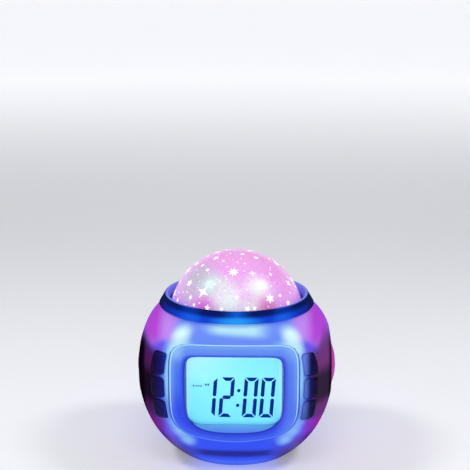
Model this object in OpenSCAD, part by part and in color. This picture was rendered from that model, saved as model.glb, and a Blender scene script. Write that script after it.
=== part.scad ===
// Star projector alarm clock.
// A rounded body holds a lit display at the front, three push buttons on each front corner,
// a speaker on the left, a star lens on the right and a printed star dome in a ring on top.
// Units are millimetres. The origin is the centre of the base at table height.
// +Z is up, the display faces -Y and +X is to the viewer's right.

/* [Body] */
// Width of the body, measured before the side flats are cut
body_w = 102; // [96:1:108]
// How far the front reaches from the middle plane, before the bezel is dished
front_reach = 48; // [46:0.5:50]
// How far the back reaches from the middle plane
back_reach = 45.8; // [44:0.2:48]
// Height of the widest section
waist_z = 52; // [50:1:54]
// Height of the full curve above the widest section
upper_rise = 41; // [39:0.5:45]
// Depth of the full curve below the widest section
lower_fall = 63; // [60:1:68]
// Height of the body's flat top, where the ring sits
body_top_z = 79.5; // [78.5:0.5:80.5]
// How deep each side flat is cut into the widest section
side_flat_cut = 2; // [1.6:0.1:2.4]
// Wall of the moulded shells
wall = 2.2; // [1.8:0.1:2.6]
// How far behind the middle plane the two shells meet
seam_y = 16; // [15:1:20]

/* [Front bezel] */
// Half the width of the bezel panel
bezel_half_w = 32.2; // [31:0.2:33]
// Height of the bezel's top edge
bezel_top_z = 70; // [69:0.5:71]
// Height of the bezel's lowest point
bezel_low_z = 18.6; // [18:0.2:20]
// Half the width of the display recess
recess_half_w = 24.6; // [24:0.1:26]
// Height of the recess's top edge
recess_top_z = 64.1; // [63.5:0.1:65]
// Height of the recess's lowest point
recess_low_z = 23.2; // [22.8:0.1:24.5]
// How far the panel dips at the edge of the recess
bezel_dish = 1.4; // [1:0.1:1.8]
// Thickness of the panel
bezel_t = 2.2; // [1.8:0.1:2.6]

/* [Display] */
// Half the width of the part of the display that shows
view_half_w = 23.8; // [23:0.1:24.4]
// Top of the part that shows
view_top_z = 63.4; // [62.5:0.1:63.8]
// Bottom of the part that shows
view_low_z = 27.2; // [26.8:0.1:28.4]
// Distance from the body's foremost point back to the bezel's inner lip
lip_depth = 7.4; // [7:0.1:7.8]
// Thickness of the clear window
window_t = 1.2; // [1:0.1:1.4]
// Thickness of the LCD glass
glass_t = 2.2; // [1.8:0.1:2.4]
// Thickness of the backlight guide
guide_t = 3; // [2.6:0.1:3.2]
// Thickness of every circuit board
board_t = 1.6; // [1.2:0.1:1.8]

/* [Buttons] */
// Width of a button
button_w = 7.6; // [7:0.1:8]
// Height of a button
button_h = 10; // [9.4:0.1:10.2]
// Distance between button centres
button_pitch = 12.1; // [11.9:0.1:12.4]
// Height of the middle button's centre
button_mid_z = 47.6; // [47:0.1:48.5]
// Angle of the buttons' travel from straight ahead
button_turn = 33; // [32:0.5:34]
// Direction, from straight ahead, of the point on the body's corner that the buttons sit on
corner_turn = 42; // [41:0.5:43]
// How far a button stands proud of the body
button_proud = 0.7; // [0.4:0.1:1]
// How far a button goes in
button_travel = 0.8; // [0.5:0.1:0.9]
// Gap all round a button
button_gap = 0.3; // [0.2:0.05:0.4]

/* [Top ring and dome] */
// How far the ring's foot overhangs the body's flat top
ring_overhang = 1.8; // [1.4:0.1:2.4]
// How far the ring narrows from its foot to its rim
ring_taper = 2.8; // [2:0.1:3.2]
// Height of the ring above the body
ring_h = 5.5; // [5:0.1:6]
// Gap between the dome's foot and the ring
dome_gap = 1.35; // [1:0.05:1.6]
// Height of the dome above the ledge that it stands on
dome_rise = 26.5; // [26:0.1:27.5]
// Wall of the dome
dome_t = 1.6; // [1.2:0.1:2]

/* [Side discs] */
// Radius of the star lens and of the speaker grille
disc_r = 11.4; // [11:0.1:11.8]
// Height of the discs' centres
disc_z = 46; // [45.5:0.5:49]
// How far the discs stand out from the side flats
disc_proud = 3.2; // [2.8:0.1:3.6]
// Width of the trim ring round each disc
trim_w = 1.4; // [1:0.1:1.8]

/* [Speaker] */
// Radius of the speaker's basket
speaker_r = 14; // [13:0.5:15]
// Depth of the speaker
speaker_depth = 10; // [9:0.5:11]
// Radius of each hole in the grille
grille_hole_r = 0.6; // [0.4:0.05:0.7]

/* [Batteries] */
// Radius of an AAA cell
cell_r = 5.25; // [5:0.05:5.3]
// Length of an AAA cell without its cap
cell_l = 43.7; // [43:0.1:44]
// Distance between cell centres
cell_pitch = 11.4; // [11.2:0.1:11.8]
// Half the width of the battery door
door_half_w = 28; // [27.6:0.2:29]
// Height of the door's lower edge
door_low_z = 22; // [21:0.5:22.5]
// Height of the door's upper edge
door_top_z = 60; // [59.5:0.5:61]

/* [Base] */
// How far the feet lift the body off the table
foot_proud = 0.8; // [0.6:0.1:1.2]
// Radius of the base plate
base_r = 27; // [26:0.2:27.4]
// Thickness of the base plate
base_t = 2.2; // [2:0.1:2.6]
// Radius of a rubber foot
foot_r = 4; // [3.5:0.1:4.5]
// Distance of the feet from the axis
foot_ring_r = 17.5; // [16:0.5:18]

/* [Hidden] */
// How square the widest section is: 2 is an ellipse, more is squarer
corner_power = 3.6;
// Roundness of the curve that the body's width follows in height
profile_power = 2.07;
// Squareness of the panel outlines above and below their middle
bezel_up_power = 7;
bezel_side_power = 4.2;
bezel_foot_power = 2.2;
recess_up_power = 9;
recess_low_power = 4;
view_up_power = 9;
view_low_power = 7;
door_power = 9;
// Height that all the panel outlines are measured from
panel_mid_z = 48;
door_mid_z = (door_low_z + door_top_z) / 2;

// Overrun of every cut, the gap between pieces that are assembled, and a close running gap
cut = 1;
fit = 0.3;
close_fit = 0.1;

// Facets of the lofted surfaces and of the small round parts
around = 56;
outline_steps = 64;
body_levels = 19;
inner_levels = 13;
slice_levels = 5;
$fn = 48;

// Screws
screw_r = 0.9;
screw_head_r = 1.8;
screw_head_t = 1.2;
boss_r = 3;

// Curves of the body

// Share of the waist radius that the body has at height z
function reach_share(z, rise, fall) =
    let (t = z > waist_z ? (z - waist_z) / rise : (waist_z - z) / fall)
    pow(max(1 - pow(min(t, 1), profile_power), 0), 1 / profile_power);

// 1 at the waist, falling to 0 at the top and at the base
function square_share(z) =
    let (t = z > waist_z ? (z - waist_z) / (body_top_z - waist_z) : (waist_z - z) / waist_z)
    max(1 - t * t, 0);

function power_at(z) = 2 + (corner_power - 2) * square_share(z);
function half_w(z, inset) =
    (body_w / 2 - inset) * reach_share(z, upper_rise - inset, lower_fall - inset);
function half_d(z, inset, reach) = half_w(z, inset) + (reach - body_w / 2) * square_share(z);
function section_r(a, w, d, k) = pow(pow(abs(cos(a)) / w, k) + pow(abs(sin(a)) / d, k), -1 / k);

// One level section of the body, as points evenly spread in angle
function body_ring(z, inset) =
    let (w = half_w(z, inset),
         front = half_d(z, inset, front_reach),
         back = half_d(z, inset, back_reach),
         k = power_at(z))
    [for (i = [0 : around - 1])
        let (a = 360 * i / around,
             r = section_r(a, w, a > 180 ? front : back, k))
        [r * cos(a), r * sin(a), z]];

// Distance of the body's surface from the middle plane at x and height z, at the front or back
function face_y(x, z, reach) =
    let (w = half_w(z, 0), d = half_d(z, 0, reach), k = power_at(z))
    d * pow(max(1 - pow(abs(x) / w, k), 0), 1 / k);

// Distance of the body's surface from the middle at depth y and height z, at either side
function side_x(y, z) =
    let (w = half_w(z, 0), d = half_d(z, 0, y < 0 ? front_reach : back_reach), k = power_at(z))
    w * pow(max(1 - pow(abs(y) / d, k), 0), 1 / k);

// A panel outline seen from the front, as a distance from its middle at angle a
function outline_r(a, w, up, low, up_power, side_power, foot_power) =
    let (s = sin(a),
         k = s >= 0 ? up_power : side_power + (foot_power - side_power) * s * s,
         h = s >= 0 ? up : low)
    pow(pow(abs(cos(a)) / w, k) + pow(abs(s) / h, k), -1 / k);

function outline(w, up, low, up_power, side_power, foot_power, grow = 0, mid = panel_mid_z) =
    [for (i = [0 : outline_steps - 1])
        let (a = 360 * i / outline_steps,
             r = outline_r(a, w + grow, up + grow, low + grow, up_power, side_power, foot_power))
        [r * cos(a), mid + r * sin(a)]];

function bezel_outline(grow) = outline(bezel_half_w, bezel_top_z - panel_mid_z,
    panel_mid_z - bezel_low_z, bezel_up_power, bezel_side_power, bezel_foot_power, grow);
function recess_outline(grow) = outline(recess_half_w, recess_top_z - panel_mid_z,
    panel_mid_z - recess_low_z, recess_up_power, recess_low_power, recess_low_power, grow);
function view_outline(grow) = outline(view_half_w, view_top_z - panel_mid_z,
    panel_mid_z - view_low_z, view_up_power, view_low_power, view_low_power, grow);
function door_outline(grow) = outline(door_half_w, door_top_z - door_mid_z,
    door_mid_z - door_low_z, door_power, door_power, door_power, grow, door_mid_z);

// Moves outline points to a depth: on the body's front or back surface, or on a flat plane
function on_face(points, depth) =
    [for (p = points) [p[0], depth - face_y(p[0], p[1], front_reach), p[1]]];
function on_back(points, depth) =
    [for (p = points) [p[0], face_y(p[0], p[1], back_reach) - depth, p[1]]];
function on_plane(points, y) = [for (p = points) [p[0], y, p[1]]];
function between(a, b, share) = [for (i = [0 : len(a) - 1]) a[i] * (1 - share) + b[i] * share];
function toward(points, centre, share) = [for (p = points) centre + (p - centre) * share];
function sum_of(v, i = 0) = i == len(v) - 1 ? v[i] : v[i] + sum_of(v, i + 1);
function middle_of(ring) = sum_of(ring) / len(ring);

// A skin of triangles over a list of rings with as many points each
function strip(r0, r1, n) =
    [for (i = [0 : n - 1], half = [0, 1])
        let (j = (i + 1) % n)
        half == 0 ? [r0 * n + i, r1 * n + i, r1 * n + j] : [r0 * n + i, r1 * n + j, r0 * n + j]];

module skin_solid(rings) {
    n = len(rings[0]);
    m = len(rings);
    points = concat([for (r = rings, p = r) p], [middle_of(rings[0]), middle_of(rings[m - 1])]);
    sides = [for (r = [0 : m - 2], f = strip(r, r + 1, n)) f];
    first = [for (i = [0 : n - 1]) [m * n, i, (i + 1) % n]];
    last = [for (i = [0 : n - 1]) [m * n + 1, (m - 1) * n + (i + 1) % n, (m - 1) * n + i]];
    polyhedron(points, concat(sides, first, last), convexity = 6);
}

// The same skin closed on itself, for a panel with an opening in it
module skin_frame(rings) {
    n = len(rings[0]);
    m = len(rings);
    points = [for (r = rings, p = r) p];
    polyhedron(points, [for (r = [0 : m - 1], f = strip(r, (r + 1) % m, n)) f], convexity = 6);
}

module body_loft(inset, low, high, levels) {
    skin_solid([for (j = [0 : levels]) body_ring(low + (high - low) * j / levels, inset)]);
}

side_flat_x = body_w / 2 - side_flat_cut;
lip_back_y = front_reach - lip_depth;

module slab(half_x, y0, y1, z0, z1) {
    translate([-half_x, y0, z0])
        cube([2 * half_x, y1 - y0, z1 - z0]);
}

module rounded_rect(w, h, r) {
    square([w - 2 * r, h], center = true);
    square([w, h - 2 * r], center = true);
    for (x = [-1, 1], y = [-1, 1])
        translate([x * (w / 2 - r), y * (h / 2 - r)])
            circle(r);
}

// Points of an arc, for the rounded edges of turned pieces
function arc(r, z, round_r, from, to, steps = 6) =
    [for (i = [0 : steps])
        let (a = from + (to - from) * i / steps)
        [r + round_r * cos(a), z + round_r * sin(a)]];

// Lays a drawing in the XZ plane and gives it depth from y0 to y1
module panel_y(y0, y1) {
    translate([0, y1, 0])
        rotate([90, 0, 0])
            linear_extrude(y1 - y0)
                children();
}

// Shells

floor_z = foot_proud + base_t;
ledge_t = 2.5;
shell_floor_z = floor_z + ledge_t;
ledge_w = 5;
ledge_r = base_r - ledge_w;
base_screw_angles = [30, 150, 210, 330];
base_screw_ring_r = (base_r + ledge_r) / 2;
screw_hole_r = screw_r + close_fit;

// How far the battery tray reaches past its door all round
tray_margin = 2;

// The bosses that join the shells are tied to the side walls by ribs
boss_low_z = 26;
boss_high_z = 68;
boss_front_l = 10;
boss_rear_l = 15;
boss_seat = 4;
boss_gap = 3;
boss_x = door_half_w + tray_margin + boss_gap + boss_r;
boss_rib_t = 1.6;
rib_steps = 4;
head_hole_r = screw_head_r + fit;

module at_bosses() {
    for (side = [-1, 1], z = [boss_low_z, boss_high_z])
        translate([side * boss_x, seam_y, z])
            rotate([-90, 0, 0])
                children();
}

// A rib from each boss to the side wall, between two depths, ends inside the wall
module boss_ribs(y0, y1) {
    for (side = [-1, 1], z = [boss_low_z, boss_high_z])
        mirror([side < 0 ? 1 : 0, 0, 0])
            translate([0, 0, z - boss_rib_t / 2])
                linear_extrude(boss_rib_t)
                    polygon(concat([[boss_x, y1], [boss_x, y0]],
                        [for (i = [0 : rib_steps])
                            let (y = y0 + (y1 - y0) * i / rib_steps)
                            [side_x(y, z) - wall / 2, y]]));
}

// The hollow body without its openings, between two depths
module hollow_body(y0, y1) {
    difference() {
        intersection() {
            body_loft(0, foot_proud, body_top_z, body_levels);
            slab(side_flat_x, y0, y1, -cut, body_top_z + cut);
        }
        intersection() {
            body_loft(wall, shell_floor_z, body_top_z + cut, inner_levels);
            slab(side_flat_x - wall, -front_reach, back_reach, 0, body_top_z + 2 * cut);
        }
        base_recess();
    }
}

module at_base_screws() {
    for (a = base_screw_angles)
        rotate(a)
            translate([base_screw_ring_r, 0, 0])
                children();
}

module base_recess() {
    translate([0, 0, -cut])
        cylinder(r = base_r + fit, h = floor_z + cut);
    cylinder(r = ledge_r, h = shell_floor_z + cut);
    at_base_screws()
        cylinder(r = screw_hole_r, h = shell_floor_z + cut);
}

// Frame of reference of a side disc: +Z points out, and z = 0 is the side flat
module disc_frame(side) {
    translate([side * side_flat_x, 0, disc_z])
        rotate([0, 90 * side, 0])
            children();
}

module disc_openings() {
    for (side = [-1, 1])
        disc_frame(side)
            translate([0, 0, -wall - cut])
                cylinder(r = disc_r + close_fit, h = wall + 2 * cut);
}

// Frame of reference of a button: +Z points out along its travel
module button_frame(side, z, depth) {
    translate([0, 0, z])
        rotate([0, 0, side * button_turn])
            translate([side * button_offset, -depth, 0])
                rotate([90, 0, 0])
                    children();
}

// The faces of all the buttons lie on one sphere that follows the corner of the body.
// corner_face and button_offset place the corner's point along and across a button's travel.
corner_sphere_r = 48;
corner_sphere_z = 48.5;
corner_point_r = section_r(corner_turn, half_d(button_mid_z, 0, front_reach),
    half_w(button_mid_z, 0), power_at(button_mid_z));
corner_face = corner_point_r * cos(corner_turn - button_turn);
button_offset = corner_point_r * sin(corner_turn - button_turn);
button_heights = [button_mid_z + button_pitch, button_mid_z, button_mid_z - button_pitch];
button_round = 1.5;
flange_depth = 7.4;
flange_out = corner_face - flange_depth;
flange_t = 1;
flange_lip = 0.6;
stem_r = 1.6;
stem_h = 1;
plunger_r = 1.75;
plunger_h = 0.9;
plunger_tail = 0.7;
plunger_out = flange_out - flange_t - stem_h;
bore_clear = 0.05;
tact_w = 6;
tact_h = 2.5;
switch_board_out = plunger_out - plunger_h - tact_h;
switch_board_w = 8;
switch_board_shift = 0.5;
post_r = 2;
post_h = 6.4;
post_screw_short = 2.8;
post_gap = 0.4;
post_z = button_pitch + button_h / 2 + flange_lip + post_gap + post_r;
switch_board_h = 2 * (post_z + post_r);

module button_openings() {
    for (side = [-1, 1], z = button_heights)
        button_frame(side, z, flange_out - cut)
            linear_extrude(corner_face - flange_out + 3 * cut)
                rounded_rect(button_w + 2 * button_gap, button_h + 2 * button_gap,
                    button_round + button_gap);
}

module at_switch_posts(side, depth) {
    for (end = [-1, 1])
        button_frame(side, button_mid_z + end * post_z, depth)
            children();
}

module switch_posts() {
    for (side = [-1, 1])
        at_switch_posts(side, switch_board_out)
            difference() {
                cylinder(r = post_r, h = post_h);
                translate([0, 0, -cut])
                    cylinder(r = screw_hole_r, h = post_h);
            }
}

// How deep the openings for the bezel and for the battery door run into the body
bezel_opening_l = 12.6;
door_opening_l = 20;

// A fine groove runs along the seam between the shells, in the edge of the rear shell
module seam_groove() {
    difference() {
        slab(body_w, seam_y - cut, seam_y + seam_groove_w, shell_floor_z, ledge_foot_z);
        intersection() {
            body_loft(seam_groove_depth, foot_proud, body_top_z, inner_levels);
            slab(side_flat_x - seam_groove_depth, seam_y - 2 * cut, seam_y + cut, 0, body_top_z);
        }
    }
}

seam_groove_w = 0.6;
seam_groove_depth = 0.5;

module front_shell() {
    color([0.30, 0.36, 0.95]) {
        difference() {
            hollow_body(-front_reach - cut, seam_y);
            panel_y(-front_reach - cut, bezel_opening_l - front_reach)
                polygon(bezel_outline(fit));
            button_openings();
            disc_openings();
        }
        switch_posts();
        difference() {
            union() {
                boss_ribs(seam_y - boss_front_l, seam_y);
                at_bosses()
                    translate([0, 0, -boss_front_l])
                        cylinder(r = boss_r, h = boss_front_l);
            }
            at_bosses()
                translate([0, 0, cut - boss_front_l])
                    cylinder(r = screw_hole_r, h = boss_front_l);
        }
    }
}

module rear_shell() {
    color([0.55, 0.25, 0.85])
        difference() {
            union() {
                hollow_body(seam_y, back_reach + cut);
                boss_ribs(seam_y, seam_y + boss_front_l);
                at_bosses()
                    cylinder(r = boss_r, h = boss_rear_l);
            }
            panel_y(back_reach - door_opening_l, back_reach + cut)
                polygon(door_outline(fit));
            seam_groove();
            at_bosses() {
                translate([0, 0, -cut])
                    cylinder(r = screw_hole_r, h = boss_rear_l + 2 * cut);
                translate([0, 0, boss_seat])
                    cylinder(r = head_hole_r, h = back_reach);
            }
        }
}

// A screw with its head's seat at z = 0 and its shaft along +Z
module screw(l) {
    cylinder(r = screw_r, h = l);
    translate([0, 0, -screw_head_t])
        difference() {
            cylinder(r = screw_head_r, h = screw_head_t);
            translate([0, 0, -cut])
                cylinder(r = screw_r, h = cut + screw_head_t / 2, $fn = 6);
        }
}

module shell_screws() {
    color([0.75, 0.75, 0.78])
        at_bosses()
            translate([0, 0, boss_seat])
                mirror([0, 0, 1])
                    screw(boss_seat + boss_front_l - 2 * cut);
}

// Front bezel and display

module front_bezel() {
    edge = bezel_outline(0);
    rim = recess_outline(0);
    view = view_outline(0);
    pocket = view_outline(window_margin + fit);
    color([0.25, 0.40, 0.98])
        skin_frame([
            on_face(edge, 0),
            on_face(between(edge, rim, bezel_step_shares[0]), bezel_dish * bezel_dip_shares[0]),
            on_face(between(edge, rim, bezel_step_shares[1]), bezel_dish * bezel_dip_shares[1]),
            on_face(rim, bezel_dish),
            on_plane(view, -lip_back_y - lip_t),
            on_plane(view, -lip_back_y),
            on_plane(pocket, -lip_back_y),
            on_plane(pocket, -window_back_y),
            on_face(edge, bezel_t)
        ]);
}

bezel_step_shares = [0.35, 0.7];
bezel_dip_shares = [0.25, 0.6];
lip_t = 0.5;
window_margin = 1.5;
window_back_y = lip_back_y - window_t;

module display_window() {
    color([0.75, 0.95, 1.0, 0.5])
        panel_y(-lip_back_y, -window_back_y)
            polygon(view_outline(window_margin));
}

// The LCD, its light guide and its contact strips sit in the holder, between window and board
stack_gap = 0.3;
stack_margin = 1.3;
stack_low_margin = 1.6;
stack_half_w = view_half_w + stack_margin;
stack_low_z = view_low_z - stack_low_margin;
stack_top_z = view_top_z + stack_margin;
guide_inset = 2.4;
strip_h = 1.7;
strip_inset = 1;
holder_wall = 1.4;
holder_bar = 4;
stack_front_y = window_back_y - stack_gap;
guide_front_y = stack_front_y - glass_t - stack_gap;
board_front_y = guide_front_y - guide_t - stack_gap;
board_margin = 0.4;
board_half_w = stack_half_w + board_margin;
board_low_z = stack_low_z - holder_bar;
board_top_z = stack_top_z + holder_bar;
board_screw_x = 20;
board_screw_inset = 2;
board_screw_l = 4;

module lcd_glass() {
    color([0.55, 0.95, 0.98])
        slab(stack_half_w, -stack_front_y, glass_t - stack_front_y, stack_low_z, stack_top_z);
}

module lcd_backlight() {
    color([0.92, 0.97, 1.0])
        slab(stack_half_w, -guide_front_y, guide_t - guide_front_y,
            stack_low_z + guide_inset, stack_top_z - guide_inset);
}

module contact_strips() {
    half_x = stack_half_w - strip_inset;
    back_y = -board_front_y - fit;
    color([0.85, 0.45, 0.55]) {
        slab(half_x, -guide_front_y, back_y, stack_low_z, stack_low_z + strip_h);
        slab(half_x, -guide_front_y, back_y, stack_top_z - strip_h, stack_top_z);
    }
}

module at_board_screws() {
    for (x = [-1, 1], z = [board_low_z + board_screw_inset, board_top_z - board_screw_inset])
        translate([x * board_screw_x, 0, z])
            rotate([90, 0, 0])
                children();
}

module lcd_holder() {
    color([0.90, 0.92, 0.95])
        difference() {
            intersection() {
                slab(stack_half_w + holder_wall, -window_back_y, -board_front_y,
                    board_low_z, board_top_z);
                body_loft(wall + fit, board_low_z - cut, board_top_z + cut, slice_levels);
            }
            slab(stack_half_w + fit, -front_reach, 0, stack_low_z - fit, stack_top_z + fit);
            at_board_screws()
                translate([0, 0, board_front_y - cut])
                    cylinder(r = screw_hole_r, h = board_screw_l + cut);
        }
}

module main_board() {
    color([0.08, 0.42, 0.20])
        difference() {
            slab(board_half_w, -board_front_y, board_t - board_front_y, board_low_z, board_top_z);
            at_board_screws()
                translate([0, 0, board_front_y - board_t - cut])
                    cylinder(r = screw_hole_r, h = board_t + 2 * cut);
        }
}

chip_r = 6;
chip_t = 1.5;
chip_z = 44;

// A blob of dark resin over the chip
module main_chip() {
    color([0.06, 0.06, 0.07])
        translate([0, board_t - board_front_y, chip_z])
            rotate([-90, 0, 0])
                rotate_extrude()
                    polygon(concat([[0, 0]], arc(chip_r - chip_t, 0, chip_t, 0, 90),
                        [[0, chip_t]]));
}

module main_board_screws() {
    color([0.75, 0.75, 0.78])
        at_board_screws()
            translate([0, 0, board_front_y - board_t])
                screw(board_t + board_screw_l - 2 * fit);
}

// Buttons and their switches. A button, its stem and its plunger move in together.

module button(side, z) {
    color([0.10, 0.09, 0.42])
        button_frame(side, z, flange_out) {
            intersection() {
                linear_extrude(corner_face + 2 * button_proud - flange_out)
                    rounded_rect(button_w, button_h, button_round);
                translate([0, corner_sphere_z - z, corner_face - corner_sphere_r - flange_out])
                    sphere(corner_sphere_r + button_proud, $fn = 96);
            }
            translate([0, 0, -flange_t])
                linear_extrude(flange_t)
                    rounded_rect(button_w + 2 * flange_lip, button_h + 2 * flange_lip,
                        button_round);
            translate([0, 0, -flange_t - stem_h])
                cylinder(r = stem_r, h = stem_h);
        }
}

module plunger(side, z) {
    color([0.85, 0.85, 0.82])
        button_frame(side, z, plunger_out - plunger_h - plunger_tail)
            cylinder(r = plunger_r, h = plunger_h + plunger_tail);
}

module tact_switches(side) {
    bore = plunger_tail + button_travel + close_fit;
    color([0.15, 0.15, 0.17])
        for (z = button_heights)
            button_frame(side, z, switch_board_out)
                difference() {
                    translate([-tact_w / 2, -tact_w / 2, 0])
                        cube([tact_w, tact_w, tact_h]);
                    translate([0, 0, tact_h - bore])
                        cylinder(r = plunger_r + bore_clear, h = bore + cut);
                }
}

module switch_board(side) {
    color([0.08, 0.42, 0.20])
        difference() {
            button_frame(side, button_mid_z, switch_board_out - board_t)
                translate([side * switch_board_shift - switch_board_w / 2, -switch_board_h / 2, 0])
                    cube([switch_board_w, switch_board_h, board_t]);
            at_switch_posts(side, switch_board_out - board_t - cut)
                cylinder(r = screw_hole_r, h = board_t + 2 * cut);
        }
}

module switch_board_screws() {
    color([0.75, 0.75, 0.78])
        for (side = [-1, 1])
            at_switch_posts(side, switch_board_out - board_t)
                screw(board_t + post_h - post_screw_short);
}

// Top ring, dome and projection lamp

ring_lean = 0.2;
ring_round = 0.7;
ring_lip_w = 1.5;
ring_ledge_up = 0.8;
ring_ledge_t = 2;
ring_lean_angle = 20;
ring_wall = 2.3;
ring_ledge_w = 4.3;
ring_foot_r = half_w(body_top_z, 0) + ring_overhang;
ring_rim_r = ring_foot_r - ring_taper;
ring_well_r = ring_rim_r - ring_wall;
ring_hole_r = ring_well_r - ring_ledge_w;
ring_plug_gap = 0.6;
ring_plug_r = half_w(body_top_z, wall) - ring_plug_gap;
ring_top_z = body_top_z + ring_h;
ledge_top_z = body_top_z + ring_ledge_up;
ledge_foot_z = ledge_top_z - ring_ledge_t;
dome_foot_r = ring_well_r - dome_gap;
dome_r = (dome_foot_r * dome_foot_r + dome_rise * dome_rise) / (2 * dome_rise);
dome_mid_z = ledge_top_z + dome_rise - dome_r;
lamp_board_ring_r = 11;
lamp_flange_r = ring_plug_r - fit;
lamp_flange_t = 1.5;
lamp_rim_inset = 0.4;
lamp_bowl_r = ring_hole_r - lamp_rim_inset;
lamp_screw_ring_r = (ring_hole_r + lamp_flange_r) / 2;
lamp_floor_r = 14;
lamp_depth = 12.3;
lamp_floor_z = ledge_foot_z - lamp_depth;
lamp_screw_short = 1.5;
lamp_wall = 1.5;
lamp_board_r = 16;
led_r = 2.5;
led_h = 6;
led_ring_r = 6;
led_angles = [90, 210, 330];

module at_angles(angles, r, z) {
    for (a = angles)
        rotate(a)
            translate([r, 0, z])
                children();
}

module top_ring() {
    color([0.05, 0.25, 0.85])
        difference() {
            rotate_extrude()
                polygon(concat(
                    [[ring_plug_r, body_top_z]],
                    arc(ring_foot_r - ring_lean, body_top_z + ring_lean, ring_lean, -90, 0, 3),
                    arc(ring_rim_r - ring_round, ring_top_z - ring_round, ring_round,
                        ring_lean_angle, 90),
                    arc(ring_rim_r - ring_lip_w, ring_top_z - ring_lean, ring_lean, 90, 180, 3),
                    [[ring_well_r, ledge_top_z], [ring_hole_r, ledge_top_z],
                     [ring_hole_r, ledge_foot_z], [ring_plug_r, ledge_foot_z]]));
            at_angles(lamp_screw_angles, lamp_screw_ring_r, ledge_foot_z - cut)
                cylinder(r = screw_hole_r, h = ring_ledge_t);
        }
}

lamp_screw_angles = [0, 120, 240];
lamp_board_screw_angles = [30, 150, 270];

module star_dome() {
    color([0.95, 0.70, 0.95, 0.8])
        difference() {
            translate([0, 0, dome_mid_z])
                sphere(dome_r, $fn = 96);
            translate([0, 0, dome_mid_z])
                sphere(dome_r - dome_t, $fn = 96);
            translate([-dome_r, -dome_r, dome_mid_z - dome_r])
                cube([2 * dome_r, 2 * dome_r, ledge_top_z - dome_mid_z + dome_r]);
        }
}

module lamp_reflector() {
    flange_z = ledge_foot_z - lamp_flange_t;
    color([0.95, 0.95, 0.97])
        difference() {
            rotate_extrude()
                polygon([
                    [0, lamp_floor_z - lamp_wall], [lamp_floor_r, lamp_floor_z - lamp_wall],
                    [lamp_bowl_r, flange_z], [lamp_flange_r, flange_z],
                    [lamp_flange_r, ledge_foot_z], [lamp_bowl_r - lamp_wall, ledge_foot_z],
                    [lamp_floor_r - lamp_wall, lamp_floor_z], [0, lamp_floor_z]]);
            at_angles(led_angles, led_ring_r, lamp_floor_z - lamp_wall - cut)
                cylinder(r = led_r + fit, h = lamp_wall + 2 * cut);
            at_angles(lamp_screw_angles, lamp_screw_ring_r, flange_z - cut)
                cylinder(r = screw_hole_r, h = lamp_flange_t + 2 * cut);
            at_angles(lamp_board_screw_angles, lamp_board_ring_r, lamp_floor_z - lamp_wall - cut)
                cylinder(r = screw_hole_r, h = lamp_wall + 2 * cut);
        }
}

module lamp_board() {
    color([0.08, 0.42, 0.20])
        difference() {
            translate([0, 0, lamp_floor_z - lamp_wall - board_t])
                cylinder(r = lamp_board_r, h = board_t);
            at_angles(lamp_board_screw_angles, lamp_board_ring_r,
                    lamp_floor_z - lamp_wall - board_t - cut)
                cylinder(r = screw_hole_r, h = board_t + 2 * cut);
        }
}

module led() {
    cylinder(r = led_r, h = led_h - led_r);
    translate([0, 0, led_h - led_r])
        sphere(led_r);
}

module projection_leds() {
    color([1.0, 0.85, 0.9])
        at_angles(led_angles, led_ring_r, lamp_floor_z - lamp_wall)
            led();
}

module lamp_screws() {
    color([0.75, 0.75, 0.78]) {
        at_angles(lamp_screw_angles, lamp_screw_ring_r, ledge_foot_z - lamp_flange_t)
            screw(lamp_flange_t + ring_ledge_t - lamp_screw_short);
        at_angles(lamp_board_screw_angles, lamp_board_ring_r,
                lamp_floor_z - lamp_wall - board_t)
            screw(board_t + lamp_wall);
    }
}

// Side discs: the speaker grille on the left and the star lens on the right

disc_rim = 0.8;
disc_t = 1.6;
disc_flange_t = 1.2;
disc_flange_lip = 0.8;
trim_t = 0.9;
disc_cap = disc_proud - disc_rim;
disc_cap_r = (disc_r * disc_r + disc_cap * disc_cap) / (2 * disc_cap);
disc_back = wall + disc_flange_t;
grille_rings = [0, 1, 2, 3, 4];
grille_step = 2.1;

module domed_disc() {
    difference() {
        union() {
            intersection() {
                translate([0, 0, -wall])
                    cylinder(r = disc_r, h = wall + disc_proud + cut);
                translate([0, 0, disc_proud - disc_cap_r])
                    sphere(disc_cap_r, $fn = 96);
            }
            translate([0, 0, -disc_back])
                cylinder(r = disc_r + disc_flange_lip, h = disc_flange_t);
        }
        intersection() {
            translate([0, 0, -disc_back - cut])
                cylinder(r = disc_r - disc_t, h = disc_back + disc_proud + cut);
            translate([0, 0, disc_proud - disc_cap_r])
                sphere(disc_cap_r - disc_t, $fn = 96);
        }
    }
}

module left_speaker_grille() {
    color([0.16, 0.14, 0.22])
        disc_frame(-1)
            difference() {
                domed_disc();
                for (ring = grille_rings, i = [0 : max(ring * 6, 1) - 1])
                    rotate(ring == 0 ? 0 : i * 60 / ring)
                        translate([ring * grille_step, 0, 0])
                            cylinder(r = grille_hole_r, h = disc_proud + cut, $fn = 16);
            }
}

module right_star_lens() {
    color([0.95, 0.45, 0.85, 0.9])
        disc_frame(1)
            domed_disc();
}

module trim_ring(side) {
    color([0.05, 0.05, 0.08])
        disc_frame(side)
            rotate_extrude()
                translate([disc_r + fit, 0])
                    polygon(concat([[0, 0], [trim_w, 0]],
                        arc(trim_w / 2, trim_t / 2, trim_t / 2, 0, 180)));
}

speaker_rim_w = 1.8;
speaker_rim_t = 1.2;
speaker_wall = 1;
speaker_back_r = 8.6;
magnet_r = 8;
magnet_t = 4;
cone_r = speaker_r - speaker_rim_w - fit;
cone_t = 0.6;
dust_cap_r = 4;
speaker_front = -disc_back - fit;
basket_depth = speaker_depth - magnet_t;

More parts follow.
